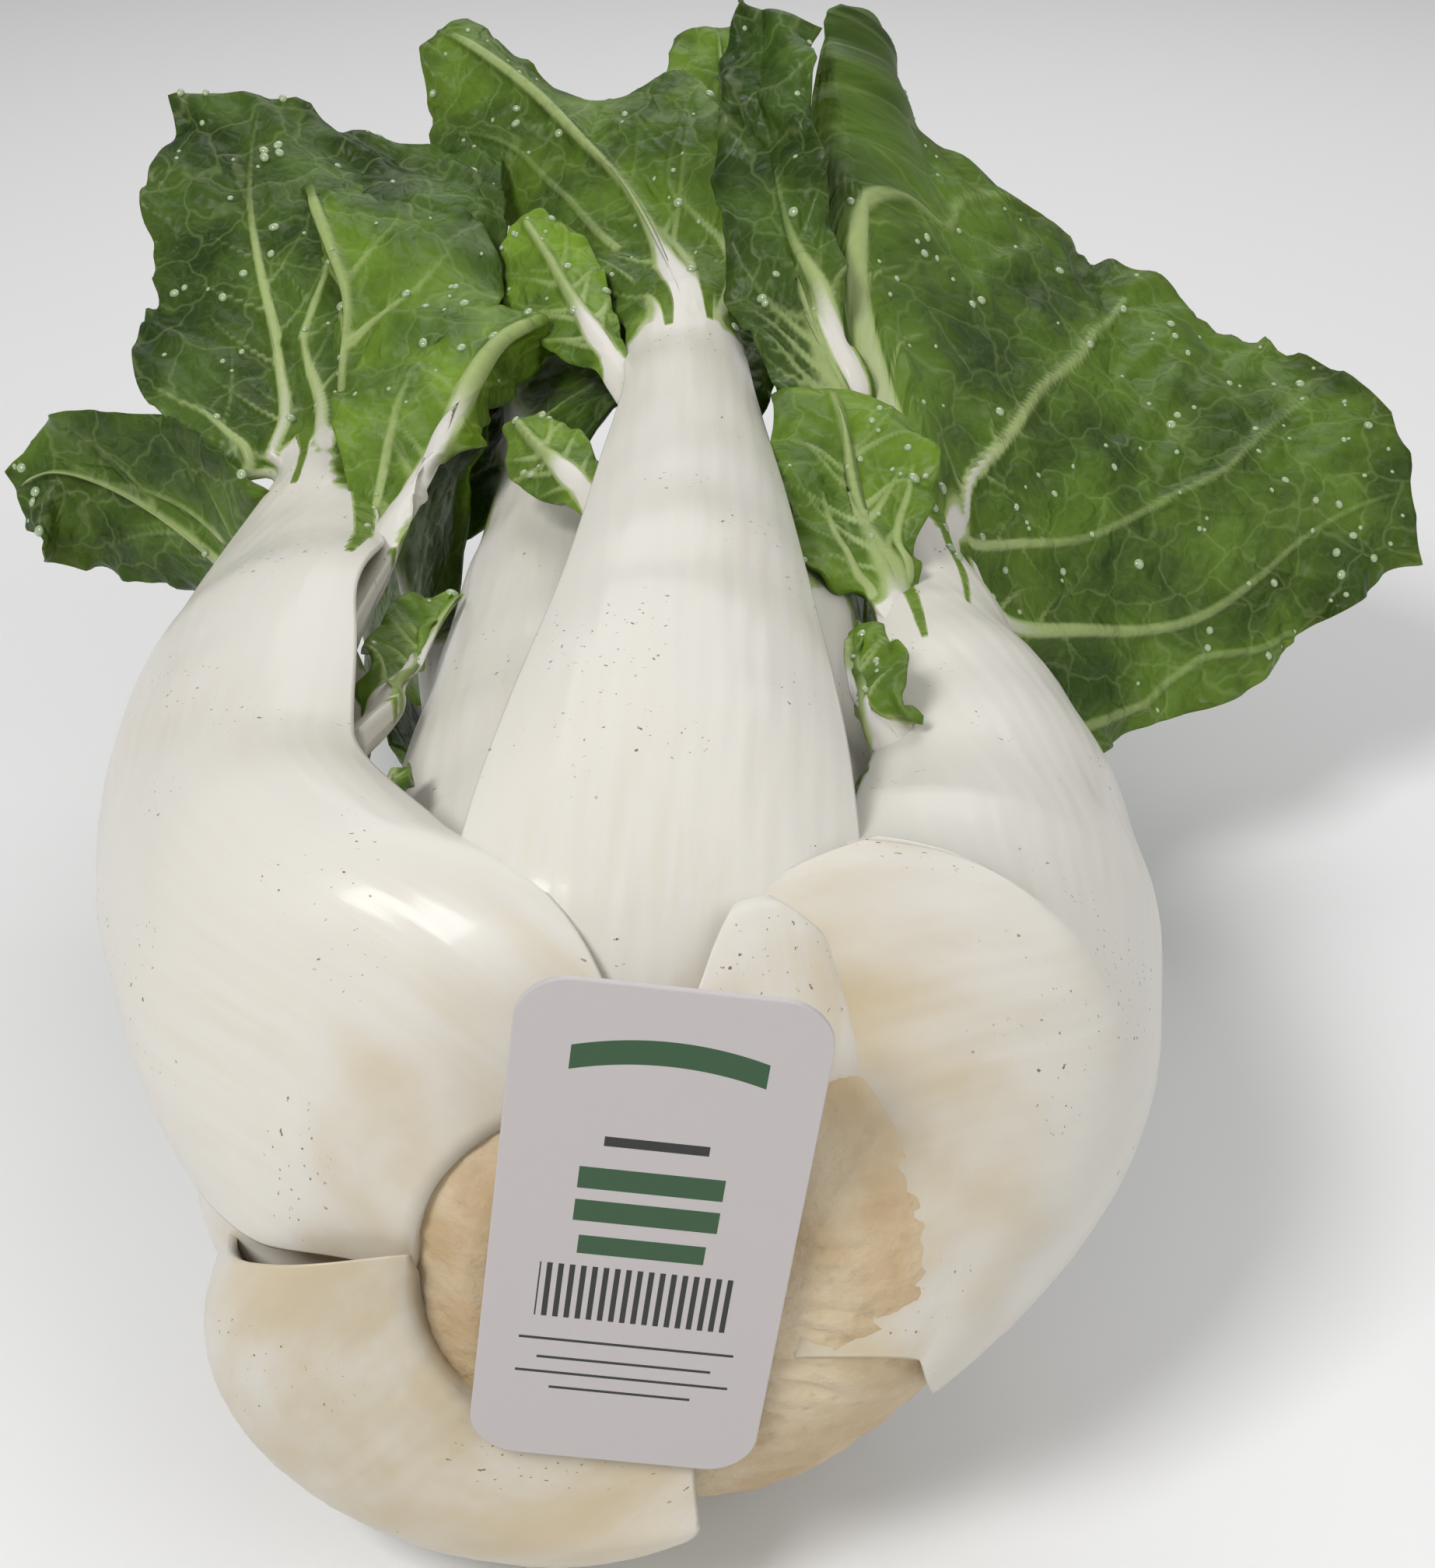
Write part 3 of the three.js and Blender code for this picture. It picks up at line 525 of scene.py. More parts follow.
    def stalk_sheets(self, spine: Spine, reach: Array, v: Array) -> tuple[Array, Array]:
        """The stalk's outer and inner faces.

        Args:
            spine: the middle line.
            reach: how far each of its places lies past the neck.
            v: places across, from -1 to 1.

        Returns:
            The outer and the inner sheet.
        """
        least_bend, ridge_width, ridge_length = 0.5, 7.0, 90.0
        thinned_from, thinned_by = 0.88, 0.5
        left, right, thick, bend = (spine.row[:, k, None] for k in (3, 4, 5, 6))
        radius = (left + right) / 2 / np.radians(np.maximum(bend, least_bend))
        turn = v * np.where(v < 0, left, right) / radius
        edge = np.minimum(STALK_EDGE, thick / 2)
        depth = edge + (thick - edge) * (1 - v**2) ** ROUNDING
        depth = depth * (1 - thinned_by * smoothstep(thinned_from, 1.0, np.abs(v)))
        sine, cosine = np.sin(turn)[..., None], np.cos(turn)[..., None]
        arch = spine.right[:, None] * sine + spine.crown[:, None] * (cosine - 1)
        outer = spine.place[:, None] + radius[..., None] * arch
        skin = spine.back[:, None] * cosine + spine.right[:, None] * sine
        ridges = np.stack([turn * radius / ridge_width, reach[:, None] / ridge_length + 0 * turn], axis=-1)
        uneven = RIDGES.over(ridges) + SWELLS.over(outer)
        fade = (1 - v**2)[None, :] ** 0.5
        outer = outer + skin * (uneven * fade)[..., None]
        return outer, outer - skin * depth[..., None]

    def blade_sheet(self, spine: Spine, u: Array, v: Array) -> Array:
        """The blade's middle surface.

        Args:
            spine: the middle line.
            u: its stations.
            v: places across, from -1 to 1.

        Returns:
            One point for every u and v.
        """
        least_curl = 0.5
        shape = self.halves(u, v)
        width, cup, curl, sweep = (shape[..., k] for k in range(4))
        side, a = np.sign(v)[None, :], np.abs(v)[None, :]
        start = np.radians(cup)
        turn = np.radians(np.where(np.abs(curl) < least_curl, least_curl, curl))
        across = width / turn * (np.sin(start + turn * a) - np.sin(start))
        inwards = width / turn * (np.cos(start) - np.cos(start + turn * a))
        height, waves, phase = self.ruffle
        cycle = waves * self.blade_share(u) + phase + np.where(side > 0, 0.5, 0.0)
        wave = height * a**2 * np.sin(2 * math.pi * cycle)
        under = spine.row[:, 5, None] + UNDER_RIB
        return (
            spine.place[:, None]
            + spine.back[:, None] * (wave - under - inwards)[..., None]
            + spine.right[:, None] * (side * across)[..., None]
            + spine.along[:, None] * (sweep * a**1.5)[..., None]
        )

    def chart(self, u: Array, v: Array) -> Array:
        """The leaf laid flat.

        Args:
            u: stations along it.
            v: places across, from -1 to 1.

        Returns:
            The distance across from the middle rib and along from the neck, for every u and v.
        """
        spine = self.spine(u)
        width = np.where(v < 0, spine.row[:, 3, None], spine.row[:, 4, None])
        sweep = 0.0
        if self.neck:
            shape = self.halves(u, v)
            on_blade = (u >= self.neck)[:, None]
            width, sweep = np.where(on_blade, shape[..., 0], width), np.where(on_blade, shape[..., 3], 0.0)
        y = self.past_neck(u)[:, None] + sweep * np.abs(v) ** 1.5
        return np.stack([v * width, y], axis=-1)

    def drawn_vein(self, pair: int, side: int, draw: np.random.Generator) -> Vein:
        """A side rib whose line isn't given, drawn with some chance in its length.

        Args:
            pair: which pair it belongs to, from the neck.
            side: -1 on the left and 1 on the right.
            draw: where its length's chance comes from.

        Returns:
            The rib, slanting up from the middle rib to the margin.
        """
        first, spread, stagger, shortest, longest = 0.06, 0.8, 0.25, 0.22, 0.3
        t = self.midrib * (first + spread * (pair + stagger * (side > 0)) / max(self.pairs, 1))
        reach = draw.uniform(shortest, longest)
        bends = ((0.0, 0.03), (0.35, 0.33), (0.75, 0.66), (1.0, 0.93))
        return Vein(1.0, 0.35, tuple((t + reach * up, out * side) for up, out in bends))

    def side_ribs(self) -> list[Line]:
        """Every side rib as a line on the chart.

        Returns:
            The lines, each with its half-width at each of its points.
        """
        draw = np.random.default_rng(sum(map(ord, self.name)))
        veins = list(self.veins)
        veins += [self.drawn_vein(pair, side, draw) for pair in range(self.pairs) for side in (-1, 1)]
        lines = []
        for vein in veins:
            points, half = self.line_of(vein)
            lines.append((points, half))
            if vein.forks:
                lines += forks(points, half, draw)
        if self.midrib > 0 and self.neck:
            count, foot, tip = 24, 2.5, 1.0
            u = np.linspace(self.neck, self.neck + (self.last() - self.neck) * self.midrib, count)
            lines += forks(self.chart(u, np.array([0.0]))[:, 0], np.linspace(foot, tip, count), draw)
        return lines

    def line_of(self, vein: Vein) -> Line:
        """A rib's or a tongue's line on the chart.

        Args:
            vein: the rib or tongue.

        Returns:
            The line's points, and the half-width at each.
        """
        path, finer = np.array(vein.path), 6
        t, v = between(path, np.linspace(0, len(path) - 1, finer * (len(path) - 1) + 1)).T
        u = np.clip(self.neck + t * (self.last() - self.neck), 0, self.last())
        points = np.array([self.chart(np.array([a]), np.array([b]))[0, 0] for a, b in zip(u, v)])
        return points, np.linspace(vein.start, vein.end, len(points))

    def wedges(self, chart: Array) -> Array:
        """The green tongues.

        Args:
            chart: the places on the chart to give them at.

        Returns:
            How deep each place lies in one of them, from 0 to 1.
        """
        full, gone = 0.6, 1.15
        green = np.zeros(chart.shape[:-1])
        for tongue in self.tongues:
            near, best, width = nearest(chart, *self.line_of(tongue))
            green[near] = np.maximum(green[near], 1 - smoothstep(full, gone, best / width))
        return green

    def ribs(self, chart: Array) -> Ribs:
        """How the side ribs shape and colour the blade.

        Args:
            chart: the places on the chart to give it at.

        Returns:
            The ribs' fields there.
        """
        whitest, faintest, finest, usual = 2.2, 0.12, 0.5, 0.4
        fades, faded, dimmed, longer = 15, 50, 0.5, 80
        height, ridge, pale_from, pale_to, glow, glow_past = 0.75, 1.05, 0.45, 1.25, 1.5, 2.0
        rise, pale, halo = (np.zeros(chart.shape[:-1]) for _ in range(3))
        gap = np.full(chart.shape[:-1], FAR)
        calm = 0.0 if self.joins else longer * max(self.white_rib - usual, 0.0)
        for points, half in self.side_ribs():
            near, best, width = nearest(chart, points, half)
            place = chart[near]
            if not len(place):
                continue
            dim = 1 - dimmed * smoothstep(fades + calm, faded + calm, place[:, 1])
            strong = np.clip(width / whitest, faintest, 1.0) * dim
            across = best / np.maximum(width, finest)
            rise[near] = np.maximum(rise[near], height * width * bell(best / (ridge * width)))
            pale[near] = np.maximum(pale[near], strong * (1 - smoothstep(pale_from, pale_to, across)))
            halo[near] = np.maximum(halo[near], strong * bell(best / (glow * width + glow_past)))
            gap[near] = np.minimum(gap[near], best)
        return Ribs(rise, pale, halo, gap)

    def middle_rib(self, spine: Spine, u: Array, chart: Array) -> MiddleRib:
        """Where the middle rib runs, narrower from the neck on.

        Args:
            spine: the middle line.
            u: its stations.
            chart: the leaf laid flat.

        Returns:
            The middle rib's fields on the chart.
        """
        ends_over, slims_over, lobe_slims, leaf_slims = 0.12, (0.5, 1.6), 0.15, 0.45
        beyond = (u - self.neck)[:, None]
        half = (spine.row[:, 3, None] + spine.row[:, 4, None]) / 2
        fade = 1 - smoothstep(self.midrib, self.midrib + ends_over, self.blade_share(u))
        slim = lobe_slims if self.joins else leaf_slims
        off = np.abs(chart[..., 0]) / (half * (1 - slim * smoothstep(*slims_over, beyond)))
        return MiddleRib(off, half, fade)

    def blade_faces(
        self, spine: Spine, u: Array, v: Array, chart: Array, ribs: Ribs, middle_rib: MiddleRib
    ) -> tuple[Array, Array]:
        """The blade's outer and inner faces, bulging between the ribs and crinkled at the margins.

        Args:
            spine: the middle line.
            u: its stations.
            v: places across, from -1 to 1.
            chart: the leaf laid flat.
            ribs: the side ribs' fields on it.
            middle_rib: the middle rib's fields on it.

        Returns:
            The outer and the inner sheet.
        """
        # A pair says where a ramp starts and ends: in stations past the neck, or in shares or millimetres
        # across.
        parts, parts_across, tapers = (0.0, 2.4), (12.0, 50.0), (0.0, 1.3)
        rib_rises, rib_sinks, sunk = (0.0, 0.7), (0.6, 1.8), 0.4
        rib_width, least_rib, side_rises = 0.72, 0.25, 0.06
        bulge, least_bulge, settles = 5.0, 0.3, 5
        crinkled, crinkle_height, crinkle_length = (0.7, 1.0), 0.8, 12
        thinned_from, thinned_by = 0.9, 0.4
        t, a, beyond = self.blade_share(u), np.abs(v)[None, :], (u - self.neck)[:, None]
        from_middle = np.abs(chart[..., 0])
        thick = spine.row[:, 5, None]
        drop = thick + UNDER_RIB - LAMINA / 2
        lifted = drop * (1 - smoothstep(*parts, beyond)) * (1 - smoothstep(*parts_across, from_middle))
        middle = self.blade_sheet(spine, u, v) + spine.back[:, None] * lifted[..., None]
        normal = unit(np.cross(np.gradient(middle, axis=1), np.gradient(middle, axis=0)))
        standing = (drop - lifted) * (1 - sunk * smoothstep(*rib_sinks, beyond))
        standing = np.maximum(standing, least_rib * middle_rib.half)
        rounded = bell(middle_rib.off / rib_width) * middle_rib.fade
        rise = standing * rounded * smoothstep(*rib_rises, beyond)
        rise = np.maximum(rise, ribs.rise * smoothstep(0.0, side_rises, t))
        gap = np.minimum(ribs.gap, np.where(middle_rib.fade > 0.5, from_middle, FAR))
        crinkle = np.sin(chart[..., 1] * 2 * math.pi / crinkle_length + MARGIN.over(chart))
        crinkle = crinkle_height * smoothstep(*crinkled, a) * crinkle
        quilt = (QUILT.over(chart) + PUCKER.over(chart)) * (1 - bell(gap / bulge))
        lift = quilt * (least_bulge + (1 - least_bulge) * np.clip(t * settles, 0, 1)) + crinkle
        half_thick = LAMINA / 2 * (1 - thinned_by * smoothstep(thinned_from, 1.0, a))
        flesh = (thick * (1 - a**2) ** ROUNDING + STALK_EDGE * a) * (1 - smoothstep(*tapers, beyond))
        near = middle + normal * (lift + half_thick + rise)[..., None]
        return near, middle + normal * (lift - half_thick - flesh)[..., None]

    def colours(self, u: Array, chart: Array, ribs: Ribs, middle_rib: MiddleRib) -> tuple[Array, Array]:
        """How white the blade is, and how bright the green beside the white.

        Args:
            u: its stations.
            chart: the leaf laid flat.
            ribs: the side ribs' fields on it.
            middle_rib: the middle rib's fields on it.

        Returns:
            The whiteness and the brightness, each from 0 to 1.
        """
        widest, soft, glow, side_glow = 1.25, 3.0, 9.0, 0.7
        early, late, dimmed, rib_border = 0.3, 0.1, 0.62, (0.3, 0.85)
        start, dip = self.green
        neck_half = sum(self.stalk[self.neck][3:5]) / 2
        across = np.minimum(np.abs(chart[..., 0]) / neck_half, widest)
        edge = chart[..., 1] - (start - dip * across**1.5) + BORDER.over(chart)
        white = 1 - smoothstep(-soft, soft, edge)
        ends = smoothstep(self.white_rib - early, self.white_rib + late, self.blade_share(u))
        along_rib = (1 - dimmed * ends) * (1 - smoothstep(*rib_border, middle_rib.off)) * middle_rib.fade
        pale = np.maximum(white, np.maximum(ribs.pale, along_rib))
        halo = np.maximum(bell(np.maximum(edge, 0) / glow), side_glow * ribs.halo)
        return pale * (1 - self.wedges(chart)), halo

    def shell(self) -> Shell:
        """Works out the leaf's two faces and the fields that colour it.

        Returns:
            The faces and fields, with the stalk's faces passing into the blade's above the neck.
        """
        tan_and_shade_start, merged = 3, 0.8
        u, v = self.stations(), np.linspace(-1, 1, self.columns + 1)
        reach = self.past_neck(u)
        spine = self.spine(u)
        outer, inner = self.stalk_sheets(spine, reach, v)
        chart = self.chart(u, v)
        tan = zero = np.zeros(outer.shape[:2])
        if not self.joins:
            # The foot's tan: real tan near the butt, and on lower_left, where it reaches far up, painted
            # shade for the underside that faces the floor.
            height = (reach - reach[0])[:, None] + TAN_AND_SHADE_BORDER.over(chart)
            tan = self.stain_and_shade[1] * (1 - smoothstep(tan_and_shade_start, self.stain_and_shade[0], height))
        if not self.neck:
            return Shell(clear_of_floor(outer), clear_of_floor(inner), chart, zero + 1, zero, tan)
        ribs, middle_rib = self.ribs(chart), self.middle_rib(spine, u, chart)
        blade_outer, blade_inner = self.blade_faces(spine, u, v, chart, ribs, middle_rib)
        grown = smoothstep(0.0, merged, (u - self.neck)[:, None])[..., None]
        near = outer * (1 - grown) + blade_outer * grown
        far = inner * (1 - grown) + blade_inner * grown
        pale, halo = self.colours(u, chart, ribs, middle_rib)
        return Shell(clear_of_floor(near), clear_of_floor(far), chart, pale, halo, tan)

    def build(self) -> bpy.types.Mesh:
        """Builds the leaf's mesh.

        Returns:
            The mesh, with its fields as attributes.
        """
        shell = self.skin = self.shell()
        fields = {"pale": shell.pale, "halo": shell.halo, "tan": shell.tan, "chart": shell.chart}
        return sheet_mesh(f"{self.name}_leaf", shell.near, shell.far, fields)


def nearest(chart: Array, points: Array, half: Array) -> tuple[Array, Array, Array]:
    """How far places on a chart lie from a line.

    Args:
        chart: the places.
        points: the line's points.
        half: the line's half-width at each of them.

    Returns:
        A mask of the places worth asking for, and for those the distance and the half-width at the nearest
        point.
    """
    margin = 14.0
    near = np.all((chart > points.min(0) - margin) & (chart < points.max(0) + margin), axis=-1)
    place = chart[near]
    best, width = np.full(len(place), np.inf), np.full(len(place), half[0])
    for a, b, wa, wb in zip(points[:-1], points[1:], half[:-1], half[1:]):
        line = b - a
        f = np.clip(((place - a) @ line) / max(line @ line, 1e-6), 0, 1)
        d = np.linalg.norm(place - a - f[:, None] * line, axis=1)
        closer = d < best
        best = np.where(closer, d, best)
        width = np.where(closer, wa + (wb - wa) * f, width)
    return near, best, width


def forks(points: Array, half: Array, draw: np.random.Generator) -> list[Line]:
    """The finer ribs that leave a rib on alternate sides.

    Args:
        points: the rib's line on the chart.
        half: its half-widths.
        draw: where the spacing's chance comes from.

    Returns:
        Lines and half-widths.
    """
    first, apart, last_gap = (8, 14), (5.5, 9.5), 4
    spread, steps, stride, bend = (42, 58), 6, (2.8, 4.2), (0, 9)
    thinner, least, most, tip = 0.4, 0.2, 1.0, 0.22
    run = run_along(points)
    lines = []
    at, side = draw.uniform(*first), 1
    while at < run[-1] - last_gap:
        here = np.array([np.interp(at, run, points[:, k]) for k in (0, 1)])
        ahead = np.array([np.interp(at + 1, run, points[:, k]) for k in (0, 1)]) - here
        heading = math.atan2(ahead[1], ahead[0]) + side * math.radians(draw.uniform(*spread))
        line = [here]
        for _ in range(steps):
            line.append(line[-1] + draw.uniform(*stride) * np.array([math.cos(heading), math.sin(heading)]))
            heading -= side * math.radians(draw.uniform(*bend))
        width = min(thinner * float(np.interp(at, run, half)) + least, most)
        lines.append((np.array(line), np.linspace(width, tip, len(line))))
        at += draw.uniform(*apart)
        side = -side
    return lines


def clear_of_floor(points: Array) -> Array:
    """Lifts what would lie below the surface that the head lies on.

    Args:
        points: a sheet of points.

    Returns:
        The sheet, with none of its points too low.
    """
    points = points.copy()
    points[..., 2] = np.maximum(points[..., 2], FLOOR_GAP)
    return points


@dataclass
class Lobe(Growth):
    """A small bright leaf on the edge of a stalk, with its blade from the second station on."""

    neck: int = 1
    look: Look = Look.INNER


def sprout(name: str, joins: str, stalk: list[Row]) -> Lobe:
    """A leaf no longer than a fingertip.

    Args:
        name: its name.
        joins: the leaf whose stalk carries it.
        stalk: its stations.

    Returns:
        The leaf.
    """
    return Lobe(
        name,
        stalk,
        blade=[
            (2.4, 0, 20, 0, 2.4, 0, 20, 0),
            (3.5, 0, 30, 0, 3.5, 0, 30, 0),
            (1.5, 0, 20, 0, 1.5, 0, 20, 0),
        ],
        ruffle=(0.2, 2, 0.4),
        joins=joins,
        green=(3.0, 5.0),
        columns=40,
        step=0.8,
        shade=0.8,
        white_rib=0.75,
    )


LEAVES: list[Growth] = [
    Growth(
        "trimmed",
        stalk=[
            (-8.6, 31.2, 33.7, 9, 11, 3, 24),
            (-6.1, 36.8, 31.8, 10.5, 15, 3.4, 24),
            (-3.5, 41.8, 29.8, 11.5, 17.5, 3.5, 26),
            (-0.5, 45.4, 26.4, 10, 12.5, 3.2, 22),
            (2.7, 48.5, 22.9, 6.6, 7.8, 2.8, 15),
            (6.1, 50.5, 20.2, 2.4, 2.8, 2, 8),
        ],
        columns=50,
        stain_and_shade=(22.0, 0.6),
    ),
    Growth(
        "left",
        stalk=[
            (-8, 26, -50, 17, 27, 5, 49.7),
            (-2, 46.8, -52.9, 26, 42, 9, 49),
            (13, 66.8, -60.4, 29.5, 50, 12, 67.3),
            (45, 79, -67.3, 36, 46, 14, 82),
            (85, 83.6, -67.1, 36, 43, 13, 77),
            (121.7, 81.4, -65.6, 28, 38, 12, 66),
            (160.8, 75.8, -58.7, 8, 17, 7.5, 52),
            (172.6, 78.5, -56.1, 6, 6, 5.4, 34),
            (187.3, 86.7, -53.8, 4, 4, 4, 20),
            (210, 100, -49, 3, 3, 3, 10),
            (232, 111, -46, 2, 2, 2.2, 5),
            (248, 119, -43, 1.5, 1.5, 1.6, 0),
        ],
        neck=6,
        blade=[
            (8, 0, 46, 0, 17, 0, 56, 0),
            (18.8, -47, 0, -3.6, 16.1, 16, 30, -8.6),
            (28, -52, 10, 4, 41, 35, 30, 4),
            (25, -40, 20, 6, 50, 30, 40, 26),
            (21, -50, 20, 4, 38, 40, 40, 14),
            (18, -41, 20, 0, 17, 50, 40, 0),
        ],
        ruffle=(2.5, 3, 0.1),
        veins=(
            Vein(2.0, 0.5, (
                (0.03, -0.45), (0.095, -0.46), (0.221, -0.19), (0.433, -0.09), (0.595, -0.13),
                (0.727, -0.14), (0.937, -0.04),
            )),
            Vein(1.9, 0.5, (
                (0.03, 0.55), (0.1, 0.42), (0.19, 0.3), (0.296, 0.13), (0.423, 0.05), (0.48, 0.1),
                (0.55, 0.2), (0.7, 0.35),
            )),
            Vein(1.7, 0.5, (
                (0.03, -0.8), (0.1, -0.85), (0.17, -0.62), (0.252, -0.7), (0.31, -0.74), (0.36, -0.9),
            )),
        ),
        green=(10.0, 14.0),
        midrib=0.06,
        pairs=1,
        columns=140,
        step=1.15,
        shade=0.0,
        white_rib=0.85,
        stain_and_shade=(26.0, 0.6),
        tongues=(
            Vein(0.7, 2.4, (
                (-0.057, 0.34), (0.02, 0.26), (0.095, 0.18), (0.2, 0.07), (0.336, 0.0), (0.441, 0.0),
            ), False),
            Vein(0.8, 2.6, ((-0.277, 0.92), (-0.2, 0.9), (-0.1, 0.9), (0.0, 0.92)), False),
        ),
        drops=45,
    ),
    Growth(
        "right",
        stalk=[
            (-8, 26, 57, 26, 24, 5, 45.6),
            (-2, 48, 67, 47, 31, 9, 50),
            (13, 69, 77, 55, 48, 12, 70.3),
            (45, 77.5, 75, 51, 49, 14, 86.6),
            (85, 76, 69, 36, 34, 13, 86),
            (120.8, 67.7, 63.6, 24, 23, 11.5, 74),
            (143, 64.3, 57.6, 11, 12, 8, 50),
            (157.4, 70.2, 61.6, 7, 7, 5.6, 34),
            (176.2, 86.9, 72.5, 5, 5, 4.2, 20),
            (189, 108, 79, 3.5, 3.5, 3.2, 10),
            (197, 128, 81, 2.5, 2.5, 2.6, 5),
            (202, 144, 83, 2, 2, 2, 5),
            (205.5, 156, 84, 1.5, 1.5, 1.6, 0),
        ],
        neck=6,
        blade=[
            (11, 0, 46, 0, 12, 0, 46, 0),
            (104.8, 17, 10, 37.7, 55.5, -3, 5, 1),
            (91.7, 29, 12, 9.2, 47, -14, 5, 4),
            (69.8, 44, 12, 13.8, 40, -18, 5, 4),
            (57.7, 54, 12, 6.2, 30, -18, 5, 4),
            (37, 46, 10, 4, 20, -22, 5, 2),
            (11, 30, 10, 1, 15, -30, 5, -1),
        ],
        ruffle=(2.5, 4, 0.6),
        veins=(
            Vein(1.4, 1.0, (
                (0.03, -0.5), (0.11, -0.6), (0.2, -0.6), (0.28, -0.62), (0.35, -0.82), (0.4, -0.95),
            )),
            Vein(1.9, 1.2, (
                (0.02, 0.03), (0.083, 0.03), (0.16, -0.04), (0.25, -0.11), (0.34, -0.26), (0.414, -0.42),
                (0.46, -0.6), (0.53, -0.8),
            )),
            Vein(1.2, 0.9, (
                (0.1, 0.1), (0.234, 0.133), (0.354, 0.144), (0.483, -0.01), (0.6, -0.1), (0.695, -0.3),
                (0.8, -0.6),
            )),
            Vein(1.9, 0.6, (
                (0.1, 0.25), (0.218, 0.4), (0.36, 0.54), (0.463, 0.58), (0.56, 0.52), (0.653, 0.44),
                (0.82, 0.18), (0.95, 0.05),
            )),
            Vein(1.4, 0.9, (
                (0.15, 0.7), (0.24, 0.82), (0.39, 0.9), (0.45, 0.82), (0.5, 0.76), (0.57, 0.85),
                (0.65, 0.95),
            )),
        ),
        green=(10.0, 15.0),
        midrib=0.05,
        pairs=0,
        columns=180,
        step=1.0,
        stain_and_shade=(52.0, 0.9),
        tongues=(
            Vein(0.6, 2.4, ((-0.254, -0.78), (-0.17, -0.745), (-0.053, -0.81), (-0.011, -0.84)), False),
            Vein(0.5, 2.4, (
                (-0.18, -0.356), (-0.083, -0.14), (-0.011, -0.14), (0.027, -0.41), (0.034, -0.55),
            ), False),
        ),
        drops=120,
    ),
    Growth(
        "lower_left",
        stalk=[
            (-11, 26, -134, 31, 26, 5, 63.8),
            (-11, 48, -135, 47, 41, 9, 68.2),
            (-2, 61.5, -138, 49, 50, 12, 77.4),
            (30, 68.6, -147, 42, 51, 13, 71.9),
            (75, 67.8, -151, 32, 34, 12, 64),
            (115, 62, -151, 25, 25, 11, 64),
            (145, 60, -151, 18, 18, 10, 60),
            (170, 63, -150, 9, 9, 6.5, 40),
            (200, 69, -146, 4.5, 4.5, 4.2, 20),
            (230, 72, -143, 2.5, 2.5, 2.6, 10),
            (252, 72, -141, 1.5, 1.5, 1.6, 0),
        ],
        neck=6,
        blade=[
            (18, 0, 60, 0, 18, 0, 60, 0),
            (26, 36, 20, 4, 38, 10, 20, 4),
            (30, 38, 15, 6, 48, 15, 15, 6),
            (26, 38, 10, 4, 42, 15, 10, 4),
            (12, 36, 10, 0, 16, 10, 10, 0),
        ],
        ruffle=(2.5, 3, 0),
        columns=110,
        step=1.7,
        shade=0.25,
        # Painted shade: the foot's tan reaches far up this leaf to darken its underside, which faces the
        # floor.
        stain_and_shade=(75.0, 0.85),
    ),
    Growth(
        "lower_right",
        stalk=[
            (-6, 26, 146, 20, 20, 5, 46),
            (2, 40.5, 148, 32, 32, 9, 46),
            (16, 54, 150, 41, 37, 12, 58),
            (42, 68, 150, 42, 38, 13, 64),
            (82, 67, 150, 32, 30, 12, 64),
            (118, 62, 150, 24, 24, 11, 64),
            (146, 60, 150, 18, 18, 10, 60),
            (172, 63, 148, 9, 9, 6.5, 40),
            (202, 69, 144, 4.5, 4.5, 4.2, 20),
            (232, 72, 141, 2.5, 2.5, 2.6, 10),
            (254, 72, 139, 1.5, 1.5, 1.6, 0),
        ],
        neck=6,
        blade=[
            (18, 0, 60, 0, 18, 0, 60, 0),
            (38, 10, 20, 4, 26, 36, 20, 4),
            (48, 15, 15, 6, 30, 38, 15, 6),
            (42, 15, 10, 4, 26, 38, 10, 4),
            (16, 10, 10, 0, 12, 36, 10, 0),
        ],
        ruffle=(2.5, 3, 0.4),
        columns=90,
        shade=0.2,
        stain_and_shade=(60.0, 0.9),
    ),
    Growth(
        "side_left",
        stalk=[
            (-5, 26, -100, 14, 14, 4, 40),
            (2, 45, -106, 22, 20, 7, 44),
            (16, 59, -107, 26, 20, 9, 46),
            (42, 63, -104, 26, 20, 10, 48),
            (82, 58, -96, 22, 20, 10, 50),
            (114, 56, -89, 18, 18, 9, 54),
            (138, 62, -82, 14, 14, 8, 50),
            (156, 75, -78, 8, 8, 5.5, 36),
            (170, 90, -76, 4.5, 4.5, 4, 20),
            (180, 106, -75, 3, 3, 3, 10),
            (186, 119, -76, 2, 2, 2.2, 5),
            (188, 127, -79, 1.5, 1.5, 1.6, 0),
        ],
        neck=6,
        blade=[
            (14, 0, 50, 0, 14, 0, 50, 0),
            (14, -5, 20, 0, 26, -25, 20, 0),
            (17, 0, 20, 2, 25, -25, 20, 2),
            (22, 0, 20, 2, 16, -25, 20, 2),
            (18, -10, 20, 2, 10, -15, 20, 2),
            (8, -20, 20, 0, 4, -10, 20, 0),
        ],
        ruffle=(2, 3, 0.7),
        veins=(
            Vein(1.3, 0.5, ((0.3, 0.275), (0.483, 0.2), (0.667, 0.025), (0.817, 0.4))),
        ),
        pairs=2,
        columns=100,
        step=1.2,
        shade=0.15,
        drops=16,
    ),
    Growth(
        "centre",
        stalk=[
            (-3, 31, 8, 20, 20, 4, 30),
            (3, 43, 8, 26, 26, 7, 34),
            (14, 53, 8, 27, 27, 9, 32),
            (40, 60, 8.5, 24, 25, 11, 34),
            (80, 62, 8.5, 18.5, 22, 12, 38),
            (120, 62, 8.5, 15.5, 19, 12, 44),
            (155, 62, 8, 12.5, 15.5, 11, 50),
            (178, 62, 7, 12.5, 12.5, 9, 50),
            (198, 66, 4, 7, 7, 6, 30),
            (220, 74, -2, 4, 4, 4, 15),
